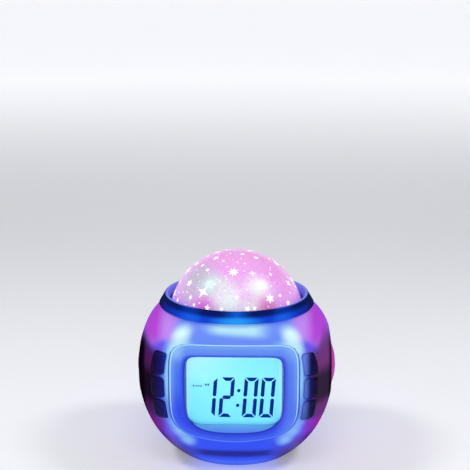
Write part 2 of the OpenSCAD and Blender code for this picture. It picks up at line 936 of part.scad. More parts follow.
module speaker_frame() {
    color([0.35, 0.36, 0.38])
        disc_frame(-1)
            translate([0, 0, speaker_front])
                rotate_extrude()
                    polygon([
                        [speaker_r - speaker_rim_w, 0], [speaker_r, 0],
                        [speaker_r, -speaker_rim_t],
                        [speaker_back_r + speaker_wall, -basket_depth],
                        [dust_cap_r, -basket_depth], [dust_cap_r, speaker_wall - basket_depth],
                        [speaker_back_r, speaker_wall - basket_depth],
                        [speaker_r - speaker_rim_w, -speaker_rim_t]]);
}

module speaker_cone() {
    rim_z = -speaker_rim_t / 2;
    neck_z = speaker_wall + close_fit - basket_depth;
    color([0.12, 0.12, 0.13])
        disc_frame(-1)
            translate([0, 0, speaker_front])
                rotate_extrude()
                    polygon([
                        [0, neck_z + 2 * cone_t], [dust_cap_r - cone_t, neck_z + cone_t],
                        [dust_cap_r, neck_z], [dust_cap_r + cone_t, neck_z],
                        [cone_r, rim_z], [cone_r, rim_z + cone_t],
                        [dust_cap_r, neck_z + 2 * cone_t], [0, neck_z + 3 * cone_t]]);
}

module speaker_magnet() {
    color([0.25, 0.25, 0.27])
        disc_frame(-1)
            translate([0, 0, speaker_front - speaker_depth])
                cylinder(r = magnet_r, h = magnet_t);
}

cup_depth = 9;
cup_back_r = 5.5;
cup_wall = 1.2;
side_board_r = 8;

module side_lamp_cup() {
    color([0.95, 0.95, 0.97])
        disc_frame(1)
            translate([0, 0, speaker_front])
                rotate_extrude()
                    polygon([
                        [disc_r - disc_t, 0], [disc_r + disc_flange_lip, 0],
                        [disc_r + disc_flange_lip, -cup_wall], [disc_r - disc_t / 2, -cup_wall],
                        [cup_back_r + cup_wall, -cup_depth], [cup_back_r, -cup_depth]]);
}

module side_lamp_board() {
    color([0.08, 0.42, 0.20])
        disc_frame(1)
            translate([0, 0, speaker_front - cup_depth - board_t])
                cylinder(r = side_board_r, h = board_t);
}

module side_led() {
    color([1.0, 0.6, 0.85])
        disc_frame(1)
            translate([0, 0, speaker_front - cup_depth])
                led();
}

// Batteries

cell_cap_r = 1.9;
cell_cap_l = 0.8;
cell_heights = [door_mid_z - cell_pitch, door_mid_z, door_mid_z + cell_pitch];
tray_half_w = door_half_w + tray_margin;
tray_low_z = door_low_z - tray_margin;
tray_top_z = door_top_z + tray_margin;
tray_wall = 3;
tray_floor_t = 1.4;
cell_depth = 12.8;
cell_y = back_reach - cell_depth;
tray_floor_y = cell_y - cell_r - fit;
contact_t = 0.4;
contact_w = 7.8;
spring_r = 2.6;
spring_wire_r = 0.35;
spring_turns = 3.5;
spring_steps = 49;
spring_sides = 6;
spring_top_r = 1.6;
cradle_t = 1.6;
cradle_h = 3;
cell_pinch = 0.4;
cell_gap = cell_pitch - 2 * cell_r + cell_pinch;

// The row of cells alternates in direction: turn is 1 where the cap points to +X
module at_cells() {
    for (i = [0 : len(cell_heights) - 1])
        translate([0, cell_y, cell_heights[i]])
            rotate([0, i % 2 == 0 ? 90 : -90, 0])
                children();
}

bay_half_l = tray_half_w - tray_wall;
plate_face = bay_half_l - contact_t;
cell_front = plate_face - cell_cap_l - fit;

module battery_tray() {
    color([0.18, 0.18, 0.22])
        difference() {
            intersection() {
                slab(tray_half_w, tray_floor_y - tray_floor_t, back_reach, tray_low_z, tray_top_z);
                body_loft(wall + fit, tray_low_z - cut, tray_top_z + cut, slice_levels);
            }
            slab(bay_half_l, tray_floor_y, back_reach + cut,
                tray_low_z + tray_wall, tray_top_z - tray_wall);
        }
    color([0.18, 0.18, 0.22])
        for (x = [-1, 1], i = [0 : len(cell_heights) - 2])
            translate([x * cell_l / 4 - cradle_t / 2, tray_floor_y - tray_floor_t / 2,
                    (cell_heights[i] + cell_heights[i + 1]) / 2 - cell_gap / 2])
                cube([cradle_t, cradle_h, cell_gap]);
}

module battery_cells() {
    color([0.80, 0.62, 0.20])
        at_cells() {
            translate([0, 0, cell_front - cell_l])
                cylinder(r = cell_r, h = cell_l);
            translate([0, 0, cell_front])
                cylinder(r = cell_cap_r, h = cell_cap_l);
        }
}

// A conical spring wound from round wire, standing on z = 0
module spring(l) {
    skin_solid([for (i = [0 : spring_steps])
        let (share = i / spring_steps,
             turn = 360 * spring_turns * share,
             r = spring_r + (spring_top_r - spring_r) * share,
             z = spring_wire_r + (l - 2 * spring_wire_r) * share)
        [for (b = [0 : spring_sides - 1])
            let (a = -360 * b / spring_sides, out = r + spring_wire_r * cos(a))
            [out * cos(turn), out * sin(turn), z + spring_wire_r * sin(a)]]]);
}

// A flat contact at the cap end and a spring on a plate at the other end of each cell
module battery_contacts() {
    spring_l = bay_half_l - contact_t - (cell_l - cell_front) - fit;
    color([0.80, 0.80, 0.83])
        at_cells() {
            translate([-contact_w / 2, -contact_w / 2, plate_face])
                cube([contact_w, contact_w, contact_t]);
            translate([-contact_w / 2, -contact_w / 2, -bay_half_l])
                cube([contact_w, contact_w, contact_t]);
            translate([0, 0, contact_t - bay_half_l])
                spring(spring_l);
        }
}

door_ring_shares = [0.3, 0.65, 0.92];

// A shallow round thumb hollow with raised ridges, near the door's top
grip_r = 6.5;
grip_depth = 0.9;
grip_drop = 9;
grip_z = door_top_z - grip_drop;
grip_sphere_r = (grip_r * grip_r + grip_depth * grip_depth) / (2 * grip_depth);
grip_ridges = [-1, 0, 1];
grip_ridge_step = 2.6;
grip_ridge_l = 7;
grip_ridge_r = 0.5;

module thumb_hollow() {
    face = face_y(0, grip_z, back_reach);
    difference() {
        translate([0, face + grip_sphere_r - grip_depth, grip_z])
            sphere(grip_sphere_r, $fn = 96);
        for (i = grip_ridges)
            translate([-grip_ridge_l / 2, face - grip_depth, grip_z + i * grip_ridge_step])
                rotate([0, 90, 0])
                    cylinder(r = grip_ridge_r, h = grip_ridge_l, $fn = 24);
    }
}

module battery_door() {
    edge = door_outline(0);
    centre = [0, door_mid_z];
    outer = [for (s = door_ring_shares) on_back(toward(edge, centre, s), 0)];
    inner = [for (s = door_ring_shares) on_back(toward(edge, centre, s), wall)];
    rings = concat(outer, [on_back(edge, 0), on_back(edge, wall)],
        [for (i = [len(inner) - 1 : -1 : 0]) inner[i]]);
    color([0.50, 0.22, 0.80])
        difference() {
            skin_solid([for (i = [len(rings) - 1 : -1 : 0]) rings[i]]);
            thumb_hollow();
        }
}

// Base

module at_feet() {
    at_angles([45, 135, 225, 315], foot_ring_r, 0)
        children();
}

foot_seat = 0.6;

module base_plate() {
    color([0.20, 0.16, 0.45])
        difference() {
            translate([0, 0, foot_proud])
                cylinder(r = base_r, h = base_t);
            at_feet()
                cylinder(r = foot_r + close_fit, h = foot_proud + foot_seat);
            at_base_screws() {
                cylinder(r = screw_hole_r, h = floor_z + cut);
                cylinder(r = head_hole_r, h = foot_proud + screw_head_t + fit);
            }
        }
}

module rubber_feet() {
    color([0.10, 0.10, 0.11])
        at_feet()
            cylinder(r = foot_r, h = foot_proud + foot_seat);
}

module base_screws() {
    color([0.75, 0.75, 0.78])
        at_base_screws()
            translate([0, 0, foot_proud + screw_head_t + fit])
                screw(floor_z + ledge_t - foot_proud - screw_head_t - 2 * fit);
}

front_shell();
rear_shell();
front_bezel();
display_window();
lcd_glass();
lcd_backlight();
lcd_holder();
contact_strips();
main_board();
main_chip();
main_board_screws();
button(-1, button_heights[0]);  // button_left_upper
button(-1, button_heights[1]);  // button_left_middle
button(-1, button_heights[2]);  // button_left_lower
button(1, button_heights[0]);  // button_right_upper
button(1, button_heights[1]);  // button_right_middle
button(1, button_heights[2]);  // button_right_lower
plunger(-1, button_heights[0]);  // plunger_left_upper
plunger(-1, button_heights[1]);  // plunger_left_middle
plunger(-1, button_heights[2]);  // plunger_left_lower
plunger(1, button_heights[0]);  // plunger_right_upper
plunger(1, button_heights[1]);  // plunger_right_middle
plunger(1, button_heights[2]);  // plunger_right_lower
tact_switches(-1);  // left_tact_switches
tact_switches(1);  // right_tact_switches
switch_board(-1);  // left_switch_board
switch_board(1);  // right_switch_board
switch_board_screws();
top_ring();
star_dome();
lamp_reflector();
lamp_board();
projection_leds();
lamp_screws();
left_speaker_grille();
trim_ring(-1);  // left_trim_ring
speaker_frame();
speaker_cone();
speaker_magnet();
right_star_lens();
trim_ring(1);  // right_trim_ring
side_lamp_cup();
side_lamp_board();
side_led();
battery_tray();
battery_cells();
battery_contacts();
battery_door();
base_plate();
rubber_feet();
base_screws();
shell_screws();
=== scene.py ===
import math
import random

import bmesh
import bpy
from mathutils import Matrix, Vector


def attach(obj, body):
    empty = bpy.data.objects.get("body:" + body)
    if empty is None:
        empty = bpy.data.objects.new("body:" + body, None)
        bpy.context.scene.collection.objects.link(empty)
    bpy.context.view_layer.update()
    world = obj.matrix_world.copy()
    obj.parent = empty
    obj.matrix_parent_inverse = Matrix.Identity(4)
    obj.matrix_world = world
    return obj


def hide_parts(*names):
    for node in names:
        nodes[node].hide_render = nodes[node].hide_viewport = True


# Looks of the star projector alarm clock. Lengths are in millimetres until a mesh is made.

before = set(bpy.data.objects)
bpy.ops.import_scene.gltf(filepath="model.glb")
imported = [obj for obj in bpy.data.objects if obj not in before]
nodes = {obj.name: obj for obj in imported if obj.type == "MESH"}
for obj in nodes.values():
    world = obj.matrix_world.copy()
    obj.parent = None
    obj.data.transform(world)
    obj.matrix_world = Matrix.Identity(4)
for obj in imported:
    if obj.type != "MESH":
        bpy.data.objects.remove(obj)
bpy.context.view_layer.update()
MM = 0.001
ROOT = "clock_body"

# Curves of the body, as in the construction

body_w = 102
front_reach = 48
back_reach = 45.8
waist_z = 52
upper_rise = 41
lower_fall = 63
body_top_z = 79.5
foot_proud = 0.8
side_flat_x = 49
round_power = 2
corner_power = 3.6
profile_power = 2.07
slope_step = 0.02


def reach_share(z):
    t = (z - waist_z) / upper_rise if z > waist_z else (waist_z - z) / lower_fall
    return (1 - min(t, 1) ** profile_power) ** (1 / profile_power)


def square_share(z):
    t = (z - waist_z) / (body_top_z - waist_z) if z > waist_z else (waist_z - z) / waist_z
    return max(1 - t * t, 0)


def power_at(z):
    return round_power + (corner_power - round_power) * square_share(z)


def half_w(z):
    return body_w / 2 * reach_share(z)


def half_d(z, reach):
    return half_w(z) + (reach - body_w / 2) * square_share(z)


def section_r(x, y, z):
    """Radius of the level section in the direction of x, y."""
    rho = math.hypot(x, y)
    k = power_at(z)
    d = half_d(z, front_reach if y < 0 else back_reach)
    return ((abs(x) / rho / half_w(z)) ** k + (abs(y) / rho / d) ** k) ** (-1 / k)


def face_y(x, z):
    """How far forward the front of the body lies."""
    k = power_at(z)
    return half_d(z, front_reach) * max(1 - (abs(x) / half_w(z)) ** k, 0) ** (1 / k)


def body_gap(p):
    """How far outside the body a point lies, as a share of its radius."""
    z = min(max(p[2], foot_proud), body_top_z)
    return math.hypot(p[0], p[1]) / section_r(p[0], p[1], z) - 1


def body_slope(p):
    """Gradient of body_gap, which points out of the surface."""
    out = []
    for i in range(3):
        a, b = list(p), list(p)
        a[i] -= slope_step
        b[i] += slope_step
        out.append((body_gap(b) - body_gap(a)) / (2 * slope_step))
    return Vector(out)


# Outlines of the panels, seen from the front

panel_mid_z = 48
panel_steps = 256

# Half width, height above and below the middle, and the powers at the top, side and foot
bezel_size = (32.2, 22, 29.4, 7, 4.2, 2.2)
recess_size = (24.6, 16.1, 24.8, 9, 4, 3)
view_size = (23.8, 15.4, 20.8, 9, 7, 7)


def outline_r(a, w, up, low, up_power, side_power, foot_power):
    s = math.sin(a)
    k = up_power if s >= 0 else side_power + (foot_power - side_power) * s * s
    h = up if s >= 0 else low
    return ((abs(math.cos(a)) / w) ** k + (abs(s) / h) ** k) ** (-1 / k)


def outline(size, grow=0):
    w, up, low, *powers = size
    points = []
    for i in range(panel_steps):
        a = 2 * math.pi * i / panel_steps
        r = outline_r(a, w + grow, up + grow, low + grow, *powers)
        points.append((r * math.cos(a), panel_mid_z + r * math.sin(a)))
    return points


def on_face(points, depth):
    return [(x, depth - face_y(x, z), z) for x, z in points]


def on_plane(points, y):
    return [(x, y, z) for x, z in points]


def between(a, b, share):
    return [tuple(p * (1 - share) + q * share for p, q in zip(u, v)) for u, v in zip(a, b)]


# Mesh making

def link(name, data):
    obj = bpy.data.objects.new(name, data)
    bpy.context.scene.collection.objects.link(obj)
    return obj


def add_object(name, mesh, look, body=ROOT):
    obj = link(name, mesh)
    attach(obj, body)
    mesh.materials.append(look)
    return obj


def mesh_of(name, points, faces, smooth=True, sharp_angle=35):
    mesh = bpy.data.meshes.new(name)
    mesh.from_pydata([(x * MM, y * MM, z * MM) for x, y, z in points], [], faces)
    mesh.validate()
    bm = bmesh.new()
    bm.from_mesh(mesh)
    bmesh.ops.recalc_face_normals(bm, faces=bm.faces)
    bm.to_mesh(mesh)
    bm.free()
    if smooth:
        mesh.shade_smooth()
        mesh.set_sharp_from_angle(angle=math.radians(sharp_angle))
    return mesh


def ring_faces(n, r0, r1):
    return [(r0 * n + i, r1 * n + i, r1 * n + (i + 1) % n, r0 * n + (i + 1) % n) for i in range(n)]


def loft(name, rings, closed_ring=False, **options):
    """A skin over rings that have as many points each, capped where it isn't closed."""
    n = len(rings[0])
    points = [p for ring in rings for p in ring]
    faces = []
    for r in range(len(rings) - 1):
        faces += ring_faces(n, r, r + 1)
    if closed_ring:
        faces += ring_faces(n, len(rings) - 1, 0)
    else:
        for ring, first in ((rings[0], 0), (rings[-1], (len(rings) - 1) * n)):
            middle = tuple(sum(p[i] for p in ring) / n for i in range(3))
            points.append(middle)
            faces += [(first + i, first + (i + 1) % n, len(points) - 1) for i in range(n)]
    return mesh_of(name, points, faces, **options)


bead_sides = 8


def bead(name, path, radius):
    """A closed bead along a closed path of points."""
    n = len(path)
    rings = []
    for i in range(n):
        p, q, r = Vector(path[i - 1]), Vector(path[i]), Vector(path[(i + 1) % n])
        along = (r - p).normalized()
        out = body_slope(q).normalized()
        across = along.cross(out).normalized()
        up = across.cross(along)
        rings.append([tuple(q + (across * math.cos(a) + up * math.sin(a)) * radius)
                      for a in (2 * math.pi * k / bead_sides for k in range(bead_sides))])
    return loft(name, rings, closed_ring=True)


# Smooth skins for the pieces whose construction is faceted

skin_depth = 0.02
skin_edge = 1.7
skin_rounds = 4
settle_rounds = 3
flat_margin = 0.02
end_margin = 0.05
facet_sag = 0.33
facet_lean = 0.988
weld = 0.000001


def on_flat(p):
    return abs(p.x) > side_flat_x - flat_margin


def settle(p):
    """Slides a point at the edge of a side flat onto the true curve, within the flat."""
    for _ in range(settle_rounds):
        slope = body_slope(p)
        slope.x = 0
        p = p - slope * (body_gap(p) / slope.length_squared)
    return p


def is_facet(face):
    """Whether a face stands for a part of the body's curve."""
    centre = face.calc_center_median() / MM
    slope = body_slope(centre)
    sag = abs(body_gap(centre)) / slope.length
    level = foot_proud + end_margin < centre.z < body_top_z - end_margin
    lean = slope.normalized().dot(face.normal)
    return sag < facet_sag and level and not on_flat(centre) and lean > facet_lean


def refine(bm, outer):
    """Splits the long edges of the outer faces."""
    for _ in range(skin_rounds):
        edges = [e for e in bm.edges if e.calc_length() > skin_edge * MM
                 and any(f[outer] for f in e.link_faces)]
        if edges:
            bmesh.ops.subdivide_edges(bm, edges=edges, cuts=1)
            bmesh.ops.triangulate(bm, faces=[f for f in bm.faces if len(f.verts) > 3])


def on_curve(p):
    """The place on the true curve for a corner of an outer face."""
    if not on_flat(p):
        share = (section_r(p.x, p.y, p.z) - skin_depth) / math.hypot(p.x, p.y)
        p = Vector((p.x * share, p.y * share, p.z))
    if on_flat(p):
        p.x = math.copysign(side_flat_x, p.x)
        p = settle(p)
    return p


def set_normals(mesh, flags):
    """True normals on the outer faces, and flat ones on the others."""
    cache = {}
    normals = [None] * len(mesh.loops)
    for polygon, flag in zip(mesh.polygons, flags):
        for loop in polygon.loop_indices:
            v = mesh.loops[loop].vertex_index
            if flag and v not in cache:
                cache[v] = tuple(body_slope(mesh.vertices[v].co / MM).normalized())
            normals[loop] = cache[v] if flag else tuple(polygon.normal)
    mesh.normals_split_custom_set(normals)


def smooth_skin(node, look, body=ROOT):
    """The node's own form, with its outer faces refined and laid on the true curve."""
    name = node + "_skin"
    mesh = nodes[node].data.copy()
    mesh.name = name
    bm = bmesh.new()
    bm.from_mesh(mesh)
    bmesh.ops.remove_doubles(bm, verts=bm.verts, dist=weld)
    outer = bm.faces.layers.int.new("outer")
    for face in bm.faces:
        face[outer] = int(is_facet(face))
    refine(bm, outer)
    for vert in bm.verts:
        if any(f[outer] for f in vert.link_faces):
            vert.co = on_curve(vert.co / MM) * MM
    flags = [face[outer] for face in bm.faces]
    bm.to_mesh(mesh)
    bm.free()
    mesh.shade_smooth()
    set_normals(mesh, flags)
    mesh.materials.clear()
    obj = add_object(name, mesh, look, body)
    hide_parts(node)


# Materials

shell_glow = 0.12
shine_x = 1.1
spot_change_z = 48

# Highlights at the corners of the front: place on the right, radius and share
corner_spots = (
    (26.9, -36.9, 74.2, 7.6, 0.95), (27.6, -39, 71.5, 7.4, 0.9), (29.6, -41, 67, 6, 0.75),
    (24.5, -38.8, 18.5, 6.5, 0.8), (28.6, -40, 23.5, 6, 0.7), (31, -40, 28.5, 5, 0.5),
)


def rgb(red, green, blue):
    """A colour given as it looks on a screen, 0 to 255."""
    def linear(c):
        c /= 255
        return c / 12.92 if c <= 0.04045 else ((c + 0.055) / 1.055) ** 2.4
    return linear(red), linear(green), linear(blue), 1.0


class Finish:
    """One material, with short calls for the nodes that paint it. Places are in millimetres."""

    def __init__(self, name, **sockets):
        self.mat = bpy.data.materials.new(name)
        self.mat.use_nodes = True
        self.tree = self.mat.node_tree
        self.shader = self.tree.nodes["Principled BSDF"]
        for key, value in sockets.items():
            self.shader.inputs[key.replace("_", " ")].default_value = value
        coord = self.tree.nodes.new("ShaderNodeTexCoord")
        scale = self.tree.nodes.new("ShaderNodeVectorMath")
        scale.operation = "SCALE"
        self.tree.links.new(coord.outputs["Object"], scale.inputs[0])
        scale.inputs["Scale"].default_value = 1 / MM
        self.place = scale.outputs["Vector"]
        split = self.tree.nodes.new("ShaderNodeSeparateXYZ")
        self.tree.links.new(self.place, split.inputs[0])
        self.x, self.y, self.z = split.outputs

    def put(self, value, socket):
        if isinstance(value, bpy.types.NodeSocket):
            self.tree.links.new(value, socket)
        else:
            socket.default_value = value

    def math(self, operation, a, b=0.0, c=0.0):
        node = self.tree.nodes.new("ShaderNodeMath")
        node.operation = operation
        for value, socket in zip((a, b, c), node.inputs):
            self.put(value, socket)
        return node.outputs[0]

    def times(self, *values):
        out = values[0]
        for value in values[1:]:
            out = self.math("MULTIPLY", out, value)
        return out

    def size_of(self, value):
        return self.math("ABSOLUTE", value)

    def length(self, a, b):
        """Length of the vector that has these two parts."""
        return self.math("SQRT", self.math("ADD", self.times(a, a), self.times(b, b)))

    def choose(self, share, a, b):
        """a where share is 0 and b where it is 1, for plain numbers."""
        node = self.tree.nodes.new("ShaderNodeMix")
        self.put(share, node.inputs[0])
        self.put(a, node.inputs[2])
        self.put(b, node.inputs[3])
        return node.outputs[0]

    def rise(self, value, low, high, start=0.0, end=1.0):
        """A soft step from start at low to end at high."""
        node = self.tree.nodes.new("ShaderNodeMapRange")
        node.interpolation_type = "SMOOTHSTEP"
        self.put(value, node.inputs["Value"])
        node.inputs["From Min"].default_value = low
        node.inputs["From Max"].default_value = high
        node.inputs["To Min"].default_value = start
        node.inputs["To Max"].default_value = end
        return node.outputs["Result"]

    def fall(self, value, low, high):
        """A soft step from 1 at low to 0 at high."""
        return self.rise(value, low, high, 1.0, 0.0)

    def mix(self, share, a, b):
        node = self.tree.nodes.new("ShaderNodeMix")
        node.data_type = "RGBA"
        self.put(share, node.inputs[0])
        self.put(a, node.inputs[6])
        self.put(b, node.inputs[7])
        return node.outputs[2]

    def layer(self, under, shade, *shares):
        """Lays a shade over a colour, as far as the product of the shares."""
        return self.mix(self.times(*shares), under, shade)

    def noise(self, size, detail=2.0):
        node = self.tree.nodes.new("ShaderNodeTexNoise")
        self.tree.links.new(self.place, node.inputs["Vector"])
        node.inputs["Scale"].default_value = 1 / size
        node.inputs["Detail"].default_value = detail
        return node.outputs["Fac"]

    def cells(self, size):
        """Distance to the nearest of scattered points, in cell sizes."""
        node = self.tree.nodes.new("ShaderNodeTexVoronoi")
        self.tree.links.new(self.place, node.inputs["Vector"])
        node.inputs["Scale"].default_value = 1 / size
        return node.outputs["Distance"]

    def spot(self, centre, radius):
        """1 at a point, falling to 0 at a radius from it."""
        node = self.tree.nodes.new("ShaderNodeVectorMath")
        node.operation = "DISTANCE"
        self.tree.links.new(self.place, node.inputs[0])
        node.inputs[1].default_value = centre
        return self.fall(node.outputs["Value"], 0.0, radius)

    def paint(self, colour, glow=0.0):
        self.put(colour, self.shader.inputs["Base Color"])
        if glow:
            self.glow(colour, glow)

    def glow(self, colour, strength):
        self.put(colour, self.shader.inputs["Emission Color"])
        self.shader.inputs["Emission Strength"].default_value = strength

    def rough(self, low, high, size):
        self.put(self.rise(self.noise(size, 4.0), 0.3, 0.7, low, high),
                 self.shader.inputs["Roughness"])

    def bump(self, height, depth):
        node = self.tree.nodes.new("ShaderNodeBump")
        node.inputs["Distance"].default_value = depth * MM
        self.put(height, node.inputs["Height"])
        self.tree.links.new(node.outputs["Normal"], self.shader.inputs["Normal"])


def outline_ratio(f, size):
    """How far out a place lies on the front: 1 on the outline of that size, less inside it."""
    w, up, low, up_power, side_power, foot_power = size
    dz = f.math("SUBTRACT", f.z, panel_mid_z)
    s2 = f.math("DIVIDE", f.times(dz, dz), f.math("ADD", f.times(f.x, f.x), f.times(dz, dz)))
    above = f.math("GREATER_THAN", dz, 0.0)
    below_power = f.math("MULTIPLY_ADD", s2, foot_power - side_power, side_power)
    power = f.choose(above, below_power, up_power)
    height = f.choose(above, 1 / low, 1 / up)
    a = f.math("POWER", f.times(f.size_of(f.x), 1 / w), power)
    b = f.math("POWER", f.times(f.size_of(dz), height), power)
    return f.math("POWER", f.math("ADD", a, b), f.math("DIVIDE", 1.0, power))


def shell_sides(f, colour, ax, right):
    """Lower sides from violet blue through purple to plum, lighter on the right as painted light, darkening
    to painted shade along the foot, and upper sides of lilac and magenta.
    """
    low = f.fall(f.z, 26, 38)
    purple = f.mix(right, rgb(116, 50, 158), rgb(140, 58, 196))
    plum = f.mix(right, rgb(120, 30, 116), rgb(160, 44, 160))
    for start, full, height, shade in ((25, 33, low, rgb(104, 96, 250)),
                                       (32, 38, low, purple),
                                       (37, 43, low, plum),
                                       (15, 27, f.fall(f.z, 9, 21), rgb(62, 50, 186)),
                                       (26, 34, f.fall(f.z, 13, 24), rgb(90, 40, 150)),
                                       (18, 30, f.fall(f.z, 5, 14), rgb(46, 18, 96)),
                                       (25, 33, f.rise(f.z, 66, 73), rgb(200, 140, 248)),
                                       (34, 41, f.rise(f.z, 62, 71), rgb(190, 76, 222))):
        colour = f.layer(colour, shade, f.rise(ax, start, full), height)
    return colour


def shell_back(f, colour, ax):
    """Violet blue over the buttons, and the plain back."""
    colour = f.layer(colour, rgb(112, 88, 244), f.rise(ax, 32, 36), f.fall(f.z, 68, 72),
                     f.rise(f.z, 60, 65), f.fall(f.y, -38, -33))
    back = f.mix(f.rise(f.z, 8, 72), rgb(70, 58, 206), rgb(142, 92, 240))
    return f.mix(f.rise(f.y, -8, 26), colour, back)


def shell_painted_shade(f, colour, ax, right):
    """Painted shade and dark reflections: dark surroundings of the buttons, the plum sides, lighter on the
    right as painted light, and their dark edge.
    """
    dy = f.times(f.math("ADD", f.y, 24.0), 1 / 30)
    dz = f.times(f.math("SUBTRACT", f.z, 49.0), 1 / 26)
    side = f.fall(f.length(dy, dz), 0.55, 1.15)
    colour = f.layer(colour, rgb(38, 24, 104), f.rise(ax, 34, 38.5), f.fall(f.z, 62, 68),
                     f.rise(f.z, 26, 33), side)
    sunk = f.math("SUBTRACT", f.z, f.times(f.rise(ax, 40.5, 45), f.choose(right, 2.5, 5.0)))
    colour = f.layer(colour, f.mix(right, rgb(78, 28, 88), rgb(116, 58, 126)), f.rise(ax, 37.5, 41),
                     f.fall(sunk, 62, 69), f.rise(f.z, 24, 32), side)
    colour = f.layer(colour, f.mix(right, rgb(26, 14, 36), rgb(52, 36, 62)), f.rise(ax, 38, 41),
                     f.fall(f.z, 52, 60), f.rise(f.z, 34, 42), side)
    edge = f.rise(f.math("SUBTRACT", ax, f.choose(right, 44.0, 46.5)), 0, 2.5)
    return f.layer(colour, rgb(12, 3, 14), edge, f.fall(f.z, 63, 71), f.rise(f.z, 18, 32),
                   f.fall(f.y, -24, -8), side)


def shell_lines(f, colour, ax, front):
    """Painted light near the bezel, a painted highlight as its second line, a painted dark reflection as the
    band near the foot, and lighter blue at the very foot.
    """
    ratio = outline_ratio(f, bezel_size)
    near = f.mix(f.rise(f.z, 34, 56), rgb(98, 136, 240), rgb(124, 180, 244))
    colour = f.layer(colour, near, f.fall(ratio, 1.0, 1.17), f.rise(ax, 16, 28), front, 0.95)
    colour = f.layer(colour, rgb(150, 212, 252), f.rise(ratio, 1.0, 1.012), f.fall(ratio, 1.03, 1.09),
                     f.rise(ax, 18, 28), front, f.rise(f.z, 37, 50, 0.15, 0.85))
    colour = f.layer(colour, rgb(26, 32, 146), f.rise(f.z, 6.5, 9.5), f.fall(f.z, 11, 14),
                     f.fall(ax, 15, 24), front)
    return f.layer(colour, rgb(82, 124, 248), f.fall(f.z, 3, 7), f.fall(ax, 10, 24), front)


def shell_shine(f, colour, front):
    """Highlights: a band under the ring, and soft ones at the four corners."""
    off = f.size_of(f.math("SUBTRACT", f.x, shine_x))
    slant = f.math("MULTIPLY_ADD", f.x, 0.06, f.z)
    colour = f.layer(colour, rgb(186, 238, 252), f.fall(off, 7, 19), f.rise(slant, 72.5, 76.5), front, 0.95)
    for x, y, z, radius, share in corner_spots:
        shade = rgb(206, 246, 250) if z > spot_change_z else rgb(158, 212, 250)
        for turn in (-1, 1):
            colour = f.layer(colour, shade, f.spot((turn * x + shine_x, y, z), radius), share)
    return colour


def shell_finish():
    f = Finish("shell_plastic_look", IOR=1.46, Specular_IOR_Level=0.0, Coat_Roughness=0.3)
    ax = f.size_of(f.x)
    right = f.rise(f.x, -6, 6)
    front = f.fall(f.y, -34, -20)
    colour = f.mix(f.rise(f.z, 58, 72), rgb(46, 82, 242), rgb(108, 144, 248))
    colour = shell_sides(f, colour, ax, right)
    colour = shell_back(f, colour, ax)
    colour = shell_painted_shade(f, colour, ax, right)
    colour = shell_lines(f, colour, ax, front)
    colour = shell_shine(f, colour, front)
    f.paint(f.layer(colour, rgb(20, 20, 60), f.noise(6.0, 3.0), 0.05), shell_glow)
    coat = f.math("MAXIMUM", f.rise(ax, 30, 37, 0.4, 0.0), f.rise(f.y, 4, 30, 0.0, 0.3))
    f.put(coat, f.shader.inputs["Coat Weight"])
    f.rough(0.24, 0.36, 9.0)
    f.bump(f.noise(0.5, 2.0), 0.012)
    return f.mat


def bezel_finish():
    f = Finish("bezel_plastic_look", IOR=1.46, Specular_IOR_Level=0.1, Coat_Weight=0.15, Coat_Roughness=0.2)
    edge = outline_ratio(f, bezel_size)
    ratio = outline_ratio(f, recess_size)
    right = f.rise(f.x, 18, 28)
    # Blue, with painted light: lighter towards the top and on the right, and painted highlights near the edge
    # and at the upper corners
    colour = f.mix(f.rise(f.z, 34, 54), rgb(44, 76, 238), rgb(72, 118, 250))
    colour = f.mix(f.rise(f.z, 54, 68), colour, rgb(106, 150, 250))
    colour = f.layer(colour, rgb(96, 132, 244), right, 0.7)
    colour = f.layer(colour, rgb(122, 174, 248), f.rise(edge, 0.86, 0.98), f.rise(f.z, 30, 56, 0.15, 0.7))
    colour = f.layer(colour, rgb(158, 208, 246), f.rise(f.size_of(f.x), 23, 29), f.rise(f.z, 60, 67),
                     f.choose(right, 0.8, 0.3))

    # Round the recess, painted shadow along its border and on its wall, and painted light on its sill
    colour = f.mix(f.fall(ratio, 1.0, 1.12), colour, f.mix(right, rgb(46, 70, 232), rgb(66, 84, 226)))
    colour = f.mix(f.fall(ratio, 0.99, 1.035), colour, rgb(22, 52, 172))
    colour = f.mix(f.math("LESS_THAN", ratio, 0.992), colour, rgb(40, 80, 200))
    sill = f.mix(f.rise(f.z, 23.6, 27.2), rgb(84, 142, 250), rgb(98, 180, 252))
    colour = f.layer(colour, sill, f.fall(ratio, 0.985, 0.996), f.fall(f.z, 27, 31))
    f.paint(f.layer(colour, rgb(20, 20, 60), f.noise(5.0, 3.0), 0.04), shell_glow)
    f.rough(0.24, 0.36, 8.0)
    f.bump(f.noise(0.5, 2.0), 0.01)
    return f.mat


def line_highlight_finish():
    f = Finish("bezel_line_look", IOR=1.45, Roughness=0.3)
    # A painted highlight with a painted glow, dimmer blue towards the foot
    colour = f.mix(f.noise(3.0), rgb(186, 232, 255), rgb(160, 212, 250))
    f.paint(f.mix(f.fall(f.z, 22, 42), colour, rgb(80, 124, 250)), 0.3)
    return f.mat


